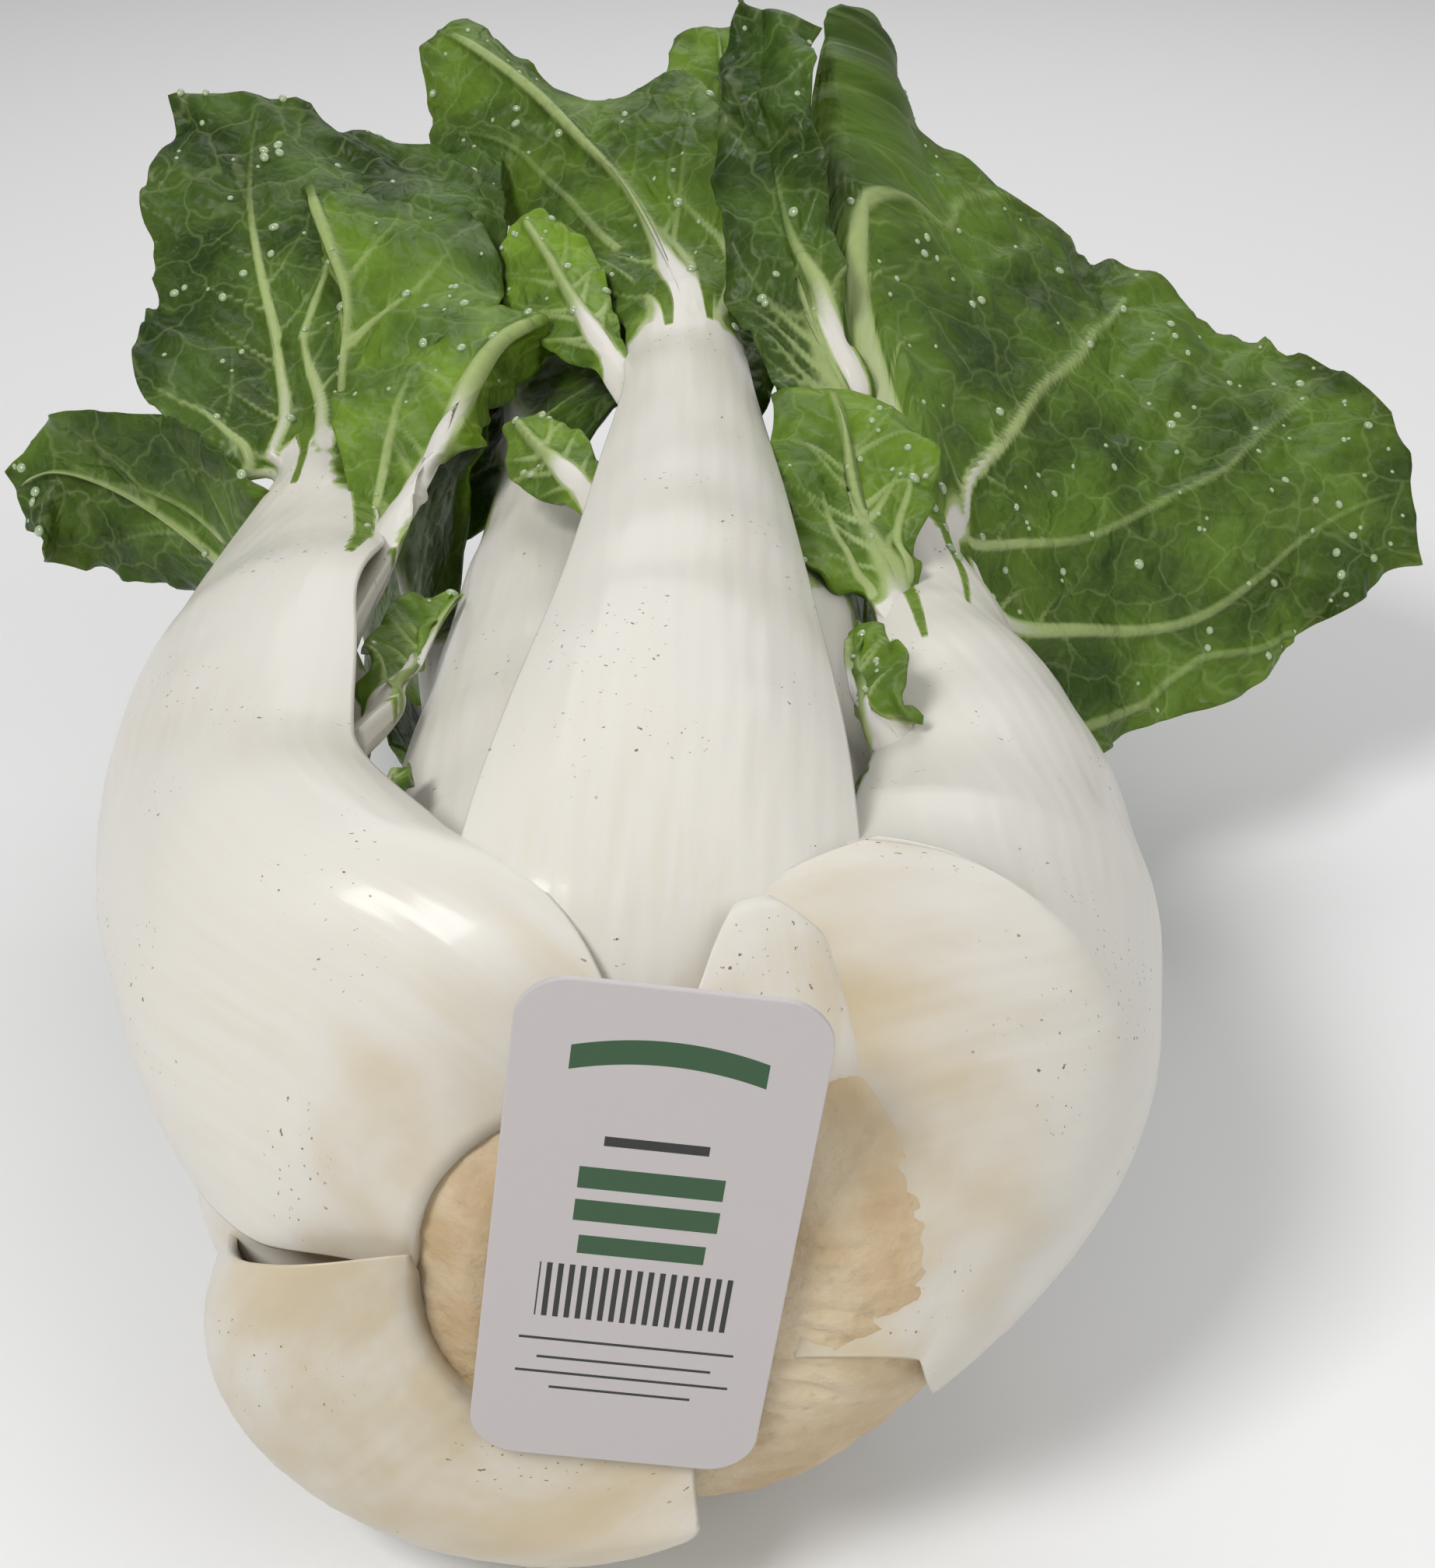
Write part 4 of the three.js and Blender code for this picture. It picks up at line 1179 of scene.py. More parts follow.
            (240, 83, -11, 3, 3, 3, 10),
            (257, 94, -19, 2, 2, 2.2, 5),
            (270, 106, -26, 1.5, 1.5, 1.6, 0),
        ],
        neck=7,
        blade=[
            (12.5, 0, 50, 0, 12.5, 0, 50, 0),
            (14, 0, 30, 6, 14, -20, 20, 3),
            (19.3, 1, 30, 7, 24, -28, 20, 4),
            (23.3, 6, 30, 8, 28, 6, 20, 2),
            (22.6, -3, 30, 3.4, 23, 56, 20, 0),
            (6, 0, 20, 0, 8, 30, 20, 0),
        ],
        ruffle=(2.5, 4, 0.3),
        veins=(
            Vein(1.7, 0.5, (
                (0.05, 0.2), (0.142, 0.275), (0.183, 0.325), (0.258, 0.2), (0.342, 0.05), (0.425, 0.025),
            )),
            Vein(1.4, 0.5, (
                (0.05, 0.6), (0.133, 0.875), (0.225, 0.775), (0.3, 0.475), (0.392, 0.325), (0.5, 0.75),
            )),
            Vein(1.2, 0.5, (
                (0.3, -0.475), (0.425, -0.5), (0.542, -0.45), (0.667, -0.425), (0.767, -0.625),
                (0.867, -1.0),
            )),
        ),
        green=(8.0, 10.0),
        pairs=1,
        columns=140,
        step=1.15,
        shade=0.45,
        stain_and_shade=(8.0, 0.3),
        tongues=(
            Vein(0.9, 2.6, ((0.0, -0.25), (0.1, -0.25), (0.19, -0.35)), False),
            Vein(0.8, 2.0, ((0.03, 0.4), (0.12, 0.45), (0.22, 0.5)), False),
        ),
        drops=40,
    ),
    Growth(
        "inner_left",
        stalk=[
            (4, 26, -30, 15, 15, 4, 30),
            (12, 36, -31, 18, 18, 6, 34),
            (30, 44, -31, 19, 19, 7.5, 38),
            (60, 47, -31, 17, 17, 8, 40),
            (100, 46, -31, 15, 15, 8, 44),
            (135, 45, -31, 14, 14, 8, 48),
            (165, 44, -31, 12, 12, 7, 50),
            (186, 48, -33, 6.5, 6.5, 5, 36),
            (206, 54, -34, 4, 4, 3.6, 20),
            (226, 60, -34, 2.5, 2.5, 2.6, 10),
            (242, 64, -34, 1.5, 1.5, 1.6, 0),
        ],
        neck=6,
        blade=[
            (12, 0, 50, 0, 17, 0, 50, 0),
            (30, 0, 30, 0, 27, 0, 30, 0),
            (36, 0, 30, 4, 26, 0, 30, 4),
            (30, 0, 30, 4, 24, 0, 30, 4),
            (12, 0, 20, 0, 10, 0, 20, 0),
        ],
        ruffle=(3, 4, 0.2),
        green=(-14.0, 8.0),
        columns=90,
        shade=0.2,
    ),
    Growth(
        "inner_right",
        stalk=[
            (4, 26, 38, 15, 15, 4, 30),
            (12, 36, 40, 18, 18, 6, 34),
            (30, 45, 41, 19, 19, 7.5, 38),
            (60, 48, 41, 16, 16, 8, 42),
            (100, 48, 41, 13, 13, 8, 46),
            (132, 52, 41, 11, 11, 7.5, 50),
            (155, 60, 38, 9, 9, 6.5, 50),
            (169.7, 69.3, 28.7, 5.5, 5.5, 5, 36),
            (184.8, 78.4, 21.6, 3.5, 3.5, 3.6, 20),
            (200.1, 89, 16.1, 2.5, 2.5, 2.6, 10),
            (215.5, 100.5, 12.6, 2, 2, 2, 5),
            (228.8, 109.7, 12, 1.5, 1.5, 1.6, 0),
        ],
        neck=6,
        blade=[
            (9, 0, 50, 0, 9, 0, 50, 0),
            (12.9, 24, 20, 5.8, 5.4, -50, 30, 1.9),
            (12.5, 11, 20, 5.4, 9.7, -63, 30, 0.1),
            (10.2, 9, 20, 5.4, 10.1, -61, 30, 0.3),
            (7.4, 3, 20, 4.3, 10.8, -49, 30, -0.7),
            (5.4, -19, 20, 1.7, 11, -47, 30, -6.4),
        ],
        ruffle=(2.5, 4, 0.5),
        veins=(
            Vein(2.4, 0.6, ((0.1, 0.5), (0.3, 0.475), (0.458, 0.125), (0.592, 0.075))),
        ),
        green=(-40.0, 14.0),
        midrib=0.3,
        columns=90,
        step=1.1,
        shade=0.0,
        white_rib=0.0,
        drops=14,
    ),
    Growth(
        "heart_top",
        stalk=[
            (12, 20, 6, 10, 10, 4, 30),
            (34, 34, 8, 14, 14, 6, 34),
            (70, 40, 10, 14, 14, 7, 38),
            (110, 42, 12, 13, 13, 7.5, 42),
            (145, 44, 14, 12, 12, 7, 46),
            (172, 44, 16, 8, 8, 6, 46),
            (198, 51, 16, 4, 4, 4, 30),
            (222, 62, 13, 2, 2, 2.4, 20),
            (246, 79, 11, 1.5, 1.5, 1.8, 10),
            (271, 97, 8, 1.2, 1.2, 1.4, 0),
        ],
        neck=5,
        blade=[
            (9, 0, 46, 0, 9, 0, 46, 0),
            (12, 10, 30, 0, 12, 0, 20, 0),
            (14, 10, 20, 4, 14, 0, 20, 4),
            (14, 0, 20, 4, 15, 0, 20, 4),
            (9, 0, 20, 0, 10, 0, 20, 0),
        ],
        ruffle=(2.5, 4, 0.8),
        look=Look.INNER,
        columns=70,
        shade=0.55,
    ),
    Growth(
        "back_low",
        stalk=[
            (2, 28, 180, 20, 20, 4, 36),
            (10, 40, 180, 26, 26, 7, 40),
            (30, 50, 180, 28, 28, 9, 42),
            (70, 52, 180, 24, 24, 10, 44),
            (110, 49, 180, 20, 20, 9, 46),
            (145, 47, 180, 15, 15, 8, 50),
            (170, 50, 180, 8, 8, 5.5, 40),
            (198, 58, 180, 4.5, 4.5, 4, 20),
            (226, 62.6, 180, 3, 3, 2.6, 10),
            (250, 61, 180, 1.5, 1.5, 1.6, 0),
        ],
        neck=5,
        blade=[
            (15, 0, 50, 0, 15, 0, 50, 0),
            (30, 6, 34, 4, 30, 6, 34, 4),
            (36, 8, 34, 6, 36, 8, 34, 6),
            (32, 8, 34, 4, 32, 8, 34, 4),
            (14, 6, 20, 0, 14, 6, 20, 0),
        ],
        ruffle=(2, 3, 0.2),
        columns=50,
        step=1.8,
    ),
    Growth(
        "heart_left",
        stalk=[
            (12, 18, -84, 10, 10, 4, 30),
            (36, 34, -86, 15, 15, 6, 34),
            (75, 38, -86, 16, 16, 7, 38),
            (115, 38, -84, 14, 14, 7, 42),
            (145, 41, -80, 10, 10, 6, 46),
            (168, 48, -76, 5, 5, 4.5, 30),
            (192, 58, -72, 3.5, 3.5, 3.4, 20),
            (216, 66, -68, 2.5, 2.5, 2.4, 10),
            (236, 71, -66, 1.5, 1.5, 1.6, 0),
        ],
        neck=4,
        blade=[
            (10, 0, 46, 0, 10, 0, 46, 0),
            (26, 0, 20, 0, 26, 0, 20, 0),
            (36, 0, 20, 4, 36, 0, 20, 4),
            (30, 0, 20, 4, 30, 0, 20, 4),
            (10, 0, 20, 0, 10, 0, 20, 0),
        ],
        ruffle=(2.5, 3, 0.1),
        columns=50,
        step=1.8,
        shade=0.6,
    ),
    Growth(
        "heart_right",
        stalk=[
            (12, 18, 96, 10, 10, 4, 30),
            (36, 34, 94, 15, 15, 6, 34),
            (75, 38, 92, 16, 16, 7, 38),
            (115, 39, 88, 14, 14, 7, 42),
            (145, 42, 82, 10, 10, 6, 46),
            (168, 48, 76, 5, 5, 4.5, 30),
            (192, 57, 70, 3.5, 3.5, 3.4, 20),
            (216, 65, 64, 2.5, 2.5, 2.4, 10),
            (238, 71, 60, 1.5, 1.5, 1.6, 0),
        ],
        neck=4,
        blade=[
            (13, 0, 46, 0, 10, 0, 46, 0),
            (31, 0, 20, 0, 26, 0, 20, 0),
            (39, 0, 20, 4, 34, 0, 20, 4),
            (30, 0, 20, 4, 28, 0, 20, 4),
            (10, 0, 20, 0, 10, 0, 20, 0),
        ],
        ruffle=(2.5, 3, 0.6),
        columns=50,
        step=1.8,
        shade=0.6,
    ),
    Lobe(
        "mid_left",
        stalk=[
            (156, 66, -56, 2.6, 2.6, 5, 30),
            (172, 70.5, -52.6, 2.2, 2.2, 4, 30),
            (184, 76.5, -48.5, 1.9, 1.9, 3.2, 20),
            (198, 84, -44.3, 1.6, 1.6, 2.4, 20),
            (209, 92, -43.3, 1.8, 1.8, 2, 10),
            (225, 102, -42.7, 1.2, 1.2, 1.4, 0),
        ],
        blade=[
            (4, 0, 40, 0, 4, 0, 40, 0),
            (4, 0, 30, 0, 22, 0, 30, 0),
            (4, 0, 30, 2, 30, 23, 30, 4),
            (4, 0, 30, 2, 27, 27, 30, 4),
            (2, 0, 20, 0, 9, 47, 20, 0),
        ],
        ruffle=(1.2, 3, 0.1),
        joins="left",
        green=(4.0, 6.0),
        columns=70,
        step=1.0,
        shade=0.6,
        white_rib=0.0,
        drops=22,
    ),
    Lobe(
        "fold_left",
        stalk=[
            (95.1, 61.5, -49.9, 4, 4, 5, 30),
            (119.5, 60.8, -46.5, 5, 5, 5, 40),
            (139, 60.6, -41.2, 5, 4.5, 4.5, 40),
            (153.8, 62.9, -35.6, 4, 4, 3.6, 30),
            (166.5, 65.8, -29.5, 3, 3, 2.8, 20),
            (177.7, 66.3, -23.8, 2, 2, 2.2, 10),
            (188.4, 63.8, -16.5, 1.5, 1.5, 1.6, 0),
        ],
        blade=[
            (6, 0, 40, 0, 4, 0, 40, 0),
            (8.7, -15, 20, -10.1, 2, 9, 20, -3),
            (14.9, -42, 20, -11.4, 2, -21, 20, -5),
            (21.8, -19, 20, -12, 8.8, 82, 20, -4),
            (23.8, -2, 20, -12, 11, 69, 20, 0.7),
            (20.1, 7, 20, -12, 6.4, 61, 20, 1.6),
        ],
        ruffle=(1, 2, 0.2),
        joins="left",
        veins=(
            Vein(1.1, 0.5, ((0.258, -0.7), (0.5, -0.525), (0.592, -0.475), (0.658, -0.5), (0.733, -0.4))),
        ),
        green=(9.0, 12.0),
        columns=80,
        step=0.9,
        shade=1.0,
        white_rib=0.6,
        drops=16,
    ),
    Lobe(
        "ear_left",
        stalk=[
            (55, 58.2, -43.8, 4, 4, 4.5, 30),
            (72.3, 54, -45.2, 5, 5, 4.5, 40),
            (85.5, 52, -44.8, 3.5, 3.5, 3.6, 40),
            (97.3, 51.3, -43.2, 2.4, 2.4, 2.6, 30),
            (106.9, 50.4, -40.9, 2, 2, 2, 10),
            (117.2, 48.6, -38.9, 1.5, 1.5, 1.6, 0),
        ],
        blade=[
            (4, 0, 40, 0, 4, 0, 40, 0),
            (5.4, -97, 20, -4.4, 2, -30, 20, -2.3),
            (9.1, -74, 20, -6.3, 2, -54, 20, -0.5),
            (8.2, -63, 20, -5.8, 2, -90, 20, -2),
            (5.7, -63, 20, -5.4, 2, -102, 20, -3.2),
        ],
        ruffle=(1, 2, 0.5),
        joins="left",
        green=(5.0, 8.0),
        columns=50,
        step=0.8,
        shade=1.0,
        white_rib=0.75,
        drops=6,
    ),
    Lobe(
        "front_right",
        stalk=[
            (99.1, 57.2, 55.5, 4, 4, 5, 30),
            (114.9, 56.4, 50.6, 6, 6, 5.5, 40),
            (124.6, 58.5, 43.3, 5, 5, 5, 40),
            (134.4, 62.6, 37.5, 3.5, 3.5, 3.6, 30),
            (145, 66.8, 33, 2.5, 2.5, 2.6, 20),
            (155.3, 68.6, 29.2, 1.5, 1.5, 1.6, 0),
        ],
        blade=[
            (6, 0, 40, 0, 6, 0, 40, 0),
            (13, -8, 20, -7.5, 7.5, -57, 30, -3.2),
            (13.5, -10, 20, -6.7, 13.8, -56, 30, -5.9),
            (13.5, 4, 20, -3.7, 14.3, -38, 30, -10.1),
            (10, 11, 20, 2, 13, -23, 30, -12),
        ],
        ruffle=(1.2, 3, 0.5),
        joins="right",
        veins=(
            Vein(1.2, 0.5, ((0.02, -0.85), (0.203, -0.53), (0.351, -0.49), (0.5, -0.5))),
            Vein(1.2, 0.5, ((0.1, 0.6), (0.27, 0.644), (0.449, 0.69), (0.656, 0.756))),
        ),
        green=(3.0, 5.0),
        columns=90,
        step=0.8,
        shade=0.75,
        white_rib=0.15,
        drops=14,
    ),
    Lobe(
        "ear_right",
        stalk=[
            (56.8, 58.1, 50.1, 3, 3, 4, 30),
            (61.8, 55.3, 46.8, 4.5, 4.5, 4.5, 40),
            (65.6, 56, 40.6, 3.5, 3.5, 3.6, 40),
            (75.9, 56.9, 39, 2.4, 2.4, 2.4, 20),
            (86, 57.7, 38.2, 1.5, 1.5, 1.6, 0),
        ],
        blade=[
            (4, 0, 40, 0, 4, 0, 40, 0),
            (2, -8, 30, 2, 6.7, -86, 30, -3.9),
            (2, -66, 30, 2.6, 8.9, -85, 30, -2.4),
            (2, -79, 30, 2, 5.5, -86, 30, -0.8),
        ],
        ruffle=(0.8, 2, 0.5),
        joins="right",
        green=(6.0, 6.0),
        columns=50,
        step=1.0,
        shade=0.7,
        white_rib=0.75,
        drops=8,
    ),
    Lobe(
        "ear_centre",
        stalk=[
            (112, 52, -2, 3, 3, 4, 30),
            (119, 53, -8, 3.5, 3.5, 4, 40),
            (127, 56, -13, 3, 3, 3.4, 40),
            (136, 59, -18, 2, 2, 2.4, 20),
            (147, 61, -22, 1.5, 1.5, 1.6, 0),
        ],
        blade=[
            (3.5, 0, 40, 0, 3.5, 0, 40, 0),
            (6, 0, 30, 0, 6, 0, 30, 0),
            (7, 0, 30, 1, 7, 0, 30, 1),
            (3, 0, 20, 0, 3, 0, 20, 0),
        ],
        ruffle=(0.6, 2, 0.2),
        joins="centre",
        green=(6.0, 8.0),
        step=0.8,
        shade=1.0,
        white_rib=0.5,
        drops=6,
    ),
    Lobe(
        "side_centre",
        stalk=[
            (158, 55, -2, 3, 3, 4, 30),
            (168, 57, -5, 3.5, 3.5, 4, 40),
            (182, 61, -10, 3, 3, 3.4, 40),
            (195, 66, -14, 2.2, 2.2, 2.6, 20),
            (206, 71, -17, 1.8, 1.8, 2, 10),
            (216, 76, -20, 1.5, 1.5, 1.6, 0),
        ],
        blade=[
            (3.5, 0, 40, 0, 3.5, 0, 40, 0),
            (8, 0, 30, 0, 5, 0, 30, 0),
            (12, 0, 30, 1, 8, 0, 30, 1),
            (12, 0, 30, 1, 8, 0, 30, 1),
            (4, 0, 20, 0, 3, 0, 20, 0),
        ],
        ruffle=(0.8, 3, 0.4),
        joins="centre",
        green=(8.0, 10.0),
        step=0.8,
        shade=1.0,
        white_rib=0.45,
        drops=12,
    ),
    sprout(
        "sprout_left",
        "left",
        stalk=[
            (32.9, 62.5, -40, 2, 2, 3, 20),
            (34.7, 55.9, -36.6, 2.5, 2.5, 3, 30),
            (41.7, 53.8, -36.9, 2, 2, 2, 20),
            (49.4, 53.4, -37.3, 1.2, 1.2, 1.4, 0),
        ],
    ),
    sprout(
        "sprout_right",
        "right",
        stalk=[
            (41.7, 56.3, 46.1, 2, 2, 3, 20),
            (42.4, 51.9, 45.7, 2.5, 2.5, 3, 30),
            (47.1, 53, 43.6, 2, 2, 2, 20),
            (53.3, 53.7, 43.3, 1.2, 1.2, 1.4, 0),
        ],
    ),
]


# ---------------------------------------------------------------- finishes
Colour = tuple[float, float, float]
Socket = bpy.types.NodeSocket


class Graph:
    """A material's node tree, with the few kinds of node that the finishes share."""

    def __init__(self, name: str, **shader: float | tuple) -> None:
        """Makes the material and its shader.

        Args:
            name: the material's name.
            shader: values set on the shader's sockets, with underscores for the spaces in their names.
        """
        self.material = bpy.data.materials.new(name)
        self.material.use_nodes = True
        self.tree = self.material.node_tree
        self.shader = self.tree.nodes["Principled BSDF"]
        for key, value in shader.items():
            self.shader.inputs[key.replace("_", " ")].default_value = value

    def link(self, source: Socket, target: Socket) -> None:
        """Joins two sockets."""
        self.tree.links.new(source, target)

    def node(self, kind: str, inputs: dict[str | int, object], **settings: object) -> bpy.types.Node:
        """Adds a node.

        Args:
            kind: the node's type.
            inputs: its inputs by name or number, each a socket to link or a value to set.
            settings: its own properties.

        Returns:
            The node.
        """
        node = self.tree.nodes.new(kind)
        for key, value in settings.items():
            setattr(node, key, value)
        for key, value in inputs.items():
            if isinstance(value, Socket):
                self.link(value, node.inputs[key])
            else:
                node.inputs[key].default_value = value
        return node

    def number(self, name: str) -> Socket:
        """A number stored at the piece's vertices."""
        return self.node("ShaderNodeAttribute", {}, attribute_name=name).outputs["Fac"]

    def places(self, name: str) -> Socket:
        """Places stored at the piece's vertices."""
        return self.node("ShaderNodeAttribute", {}, attribute_name=name).outputs["Vector"]

    def stretched(self, vector: Socket, scale: tuple[float, float, float]) -> Socket:
        """Places, stretched by a scale."""
        return self.node("ShaderNodeMapping", {"Vector": vector, "Scale": scale}).outputs["Vector"]

    def vector_math(self, kind: str, inputs: dict[str | int, object]) -> Socket:
        """Arithmetic on places."""
        return self.node("ShaderNodeVectorMath", inputs, operation=kind).outputs["Vector"]

    def noise(self, vector: Socket, scale: float, detail: float = 3.0) -> Socket:
        """Soft noise, from 0 to 1."""
        inputs = {"Vector": vector, "Scale": scale, "Detail": detail, "Roughness": 0.55}
        return self.node("ShaderNodeTexNoise", inputs).outputs["Fac"]

    def cells(self, vector: Socket, scale: float) -> Socket:
        """The distance to the nearest border of a net of cells."""
        inputs = {"Vector": vector, "Scale": scale, "Randomness": 0.9}
        return self.node("ShaderNodeTexVoronoi", inputs, feature="DISTANCE_TO_EDGE").outputs["Distance"]

    def ramp(self, value: Socket, low: float, high: float, start: float = 0.0, end: float = 1.0) -> Socket:
        """A smooth ramp between two levels."""
        inputs = {"Value": value, 1: low, 2: high, 3: start, 4: end}
        return self.node("ShaderNodeMapRange", inputs, interpolation_type="SMOOTHSTEP").outputs["Result"]

    def math(self, kind: str, *values: Socket | float) -> Socket:
        """Arithmetic on one, two or three numbers."""
        return self.node("ShaderNodeMath", dict(enumerate(values)), operation=kind).outputs["Value"]

    def times(self, first: Socket, second: Socket | float) -> Socket:
        """One number times another."""
        return self.math("MULTIPLY", first, second)

    def mix(self, share: object, first: object, second: object) -> Socket:
        """A blend of two colours."""
        inputs = {0: share, 6: colour_of(first), 7: colour_of(second)}
        return self.node("ShaderNodeMix", inputs, data_type="RGBA").outputs[2]

    def bump(self, height: Socket, depth: float) -> None:
        """Presses a height pattern into the surface.

        Args:
            height: the pattern.
            depth: how far it stands out, in metres.
        """
        node = self.node("ShaderNodeBump", {"Height": height, "Strength": 1.0, "Distance": depth})
        self.link(node.outputs["Normal"], self.shader.inputs["Normal"])

    def paint(self, **sockets: Socket) -> None:
        """Links sockets to the shader's, with underscores for the spaces in their names."""
        for key, value in sockets.items():
            self.link(value, self.shader.inputs[key.replace("_", " ")])


def colour_of(value: object) -> object:
    """A colour with its alpha, or the socket as it is."""
    return (*value, 1.0) if isinstance(value, tuple) and len(value) == 3 else value


@dataclass(frozen=True)
class LeafFinish:
    """White stalk and green blade in one skin, told apart by the piece's own fields.

    Attributes:
        name: the material's name.
        dark: the green of the deepest patches.
        light: the green of the lightest patches.
        vein: the pale green of the ribs.
        edge: the bright green beside ribs and the stalk.
        white: the stalk's white.
        cream: the streaks in it.
        foot_tan_and_shade: the tan at its foot, which on lower_left also stands for painted shade.
        speck: the specks of soil on it.
        rough: the roughness of the blade and of the stalk.
        coat: how much of each is coated with gloss.
        relief: how deep the blade's net is pressed in, in metres.
    """

    name: str
    dark: Colour
    light: Colour
    vein: Colour = (0.33, 0.41, 0.16)
    edge: Colour = (0.15, 0.25, 0.02)
    white: Colour = (0.66, 0.635, 0.58)
    cream: Colour = (0.62, 0.57, 0.46)
    foot_tan_and_shade: Colour = (0.53, 0.43, 0.27)
    speck: Colour = (0.12, 0.06, 0.02)
    rough: tuple[float, float] = (0.42, 0.32)
    coat: tuple[float, float] = (0.05, 0.13)
    relief: float = 0.0009

    def nets(self, g: Graph, flat: Socket) -> tuple[Socket, Socket]:
        """The coarse and the fine net of veins, bent by soft noise.

        Args:
            g: the node tree.
            flat: the chart.

        Returns:
            The distances to the borders of their cells.
        """
        bend, bend_scale, coarse, fine = 9.0, 0.11, 0.085, 0.3
        soft = g.node("ShaderNodeTexNoise", {"Vector": flat, "Scale": bend_scale}).outputs["Color"]
        bent = g.vector_math("ADD", {0: flat, 1: g.vector_math("SCALE", {0: soft, "Scale": bend})})
        return g.cells(bent, coarse), g.cells(bent, fine)

    def blade(self, g: Graph, flat: Socket, coarse: Socket, fine: Socket) -> Socket:
        """The blade's greens.

        Args:
            g: the node tree.
            flat: the chart.
            coarse: the coarse net.
            fine: the fine net.

        Returns:
            The colour.
        """
        patch_scale, glow, coarse_ink, fine_ink = 0.035, 0.6, 0.16, 0.05
        green = g.mix(g.ramp(g.noise(flat, patch_scale, detail=4.0), 0.36, 0.64), self.dark, self.light)
        green = g.mix(g.times(g.number("halo"), glow), green, self.edge)
        green = g.mix(g.times(g.ramp(fine, 0.0, 0.08, 1.0, 0.0), fine_ink), green, self.vein)
        return g.mix(g.times(g.ramp(coarse, 0.0, 0.045, 1.0, 0.0), coarse_ink), green, self.vein)

    def stalk(self, g: Graph, flat: Socket, streak: Socket) -> Socket:
        """The stalk's white, with cream streaks, tan at the foot that is also painted shade on lower_left,
        and clusters of specks.

        Args:
            g: the node tree.
            flat: the chart.
            streak: the streaks' pattern.

        Returns:
            The colour.
        """
        patch_scale, tan_and_shade_scale, dust_scale, cluster_scale, soil = 0.02, 0.05, 0.9, 0.045, 0.85
        streaked = g.mix(g.ramp(streak, 0.3, 0.75), self.white, self.cream)
        patches = g.times(g.ramp(g.noise(flat, patch_scale, detail=2.0), 0.35, 0.7), 0.5)
        white = g.mix(patches, self.white, streaked)
        # The tan at the foot, which also paints the shade of lower_left's underside.
        foot = g.times(g.number("tan"), g.ramp(g.noise(flat, tan_and_shade_scale, detail=4.0), 0.2, 0.65))
        white = g.mix(foot, white, self.foot_tan_and_shade)
        clusters = g.ramp(g.noise(flat, cluster_scale, detail=1.0), 0.54, 0.6)
        dust = g.times(g.ramp(g.noise(flat, dust_scale, detail=2.0), 0.665, 0.71), clusters)
        return g.mix(g.times(dust, soil), white, self.speck)

    def build(self) -> bpy.types.Material:
        """Makes the material.

        Returns:
            The material.
        """
        g = Graph(
            self.name,
            Subsurface_Weight=0.12,
            Subsurface_Scale=0.004,
            Subsurface_Radius=(1.0, 0.8, 0.45),
            Coat_Roughness=0.1,
            Specular_IOR_Level=0.15,
        )
        streaks, grain_scale, grain_size = (0.5, 0.035, 1.0), 0.6, 0.12
        fine_relief, streak_relief = 0.16, 0.06
        rib, stalk, firm, smooth = (0.05, 0.5), (0.5, 0.9), (0.3, 0.9), (0.3, 0.7)  # ramps of how pale it is
        chart = g.places("chart")
        flat = g.stretched(chart, (1.0, 1.0, 1.0))
        coarse, fine = self.nets(g, flat)
        streak = g.noise(g.stretched(chart, streaks), 1.0)
        grain = g.times(g.math("SUBTRACT", g.noise(flat, grain_scale), 0.5), grain_size)
        pale = g.math("ADD", g.number("pale"), grain)
        green = g.mix(g.ramp(pale, *rib), self.blade(g, flat, coarse, fine), self.vein)
        g.paint(
            Base_Color=g.mix(g.ramp(pale, *stalk), green, self.stalk(g, flat, streak)),
            Roughness=g.ramp(pale, *firm, *self.rough),
            Coat_Weight=g.ramp(pale, *firm, *self.coat),
        )
        creases = g.times(g.ramp(fine, 0.0, 0.35, 1.0, 0.0), fine_relief)
        quilted = g.math("SUBTRACT", g.ramp(coarse, 0.0, 0.45), creases)
        quilted = g.times(quilted, g.ramp(pale, *smooth, 1.0, 0.0))
        g.bump(g.math("ADD", quilted, g.times(streak, streak_relief)), self.relief)
        return g.material


@dataclass(frozen=True)
class ButtFinish:
    """The cut face and crown of the stump: tan, with darker patches.

    Attributes:
        name: the material's name.
        flesh: its tan.
        pale: the lighter patches.
        brown: the darker patches.
        relief: how deep its grain is pressed in, in metres.
    """

    name: str = "butt_flesh"
    flesh: Colour = (0.5, 0.36, 0.2)
    pale: Colour = (0.61, 0.5, 0.34)
    brown: Colour = (0.36, 0.22, 0.1)
    relief: float = 0.0006

    def build(self) -> bpy.types.Material:
        """Makes the material.

        Returns:
            The material.
        """
        patch_scale, brown_scale, grain_scale, brown_ink = 0.08, 0.3, 0.35, 0.4
        g = Graph(self.name, Roughness=0.6, Subsurface_Weight=0.08, Subsurface_Scale=0.003)
        at = g.stretched(g.node("ShaderNodeTexCoord", {}).outputs["Object"], (1 / METRES,) * 3)
        colour = g.mix(g.ramp(g.noise(at, patch_scale, detail=5.0), 0.3, 0.7), self.flesh, self.pale)
        brown = g.times(g.ramp(g.noise(at, brown_scale, detail=4.0), 0.58, 0.8), brown_ink)
        g.paint(Base_Color=g.mix(brown, colour, self.brown))
        g.bump(g.noise(at, grain_scale, detail=4.0), self.relief)
        return g.material


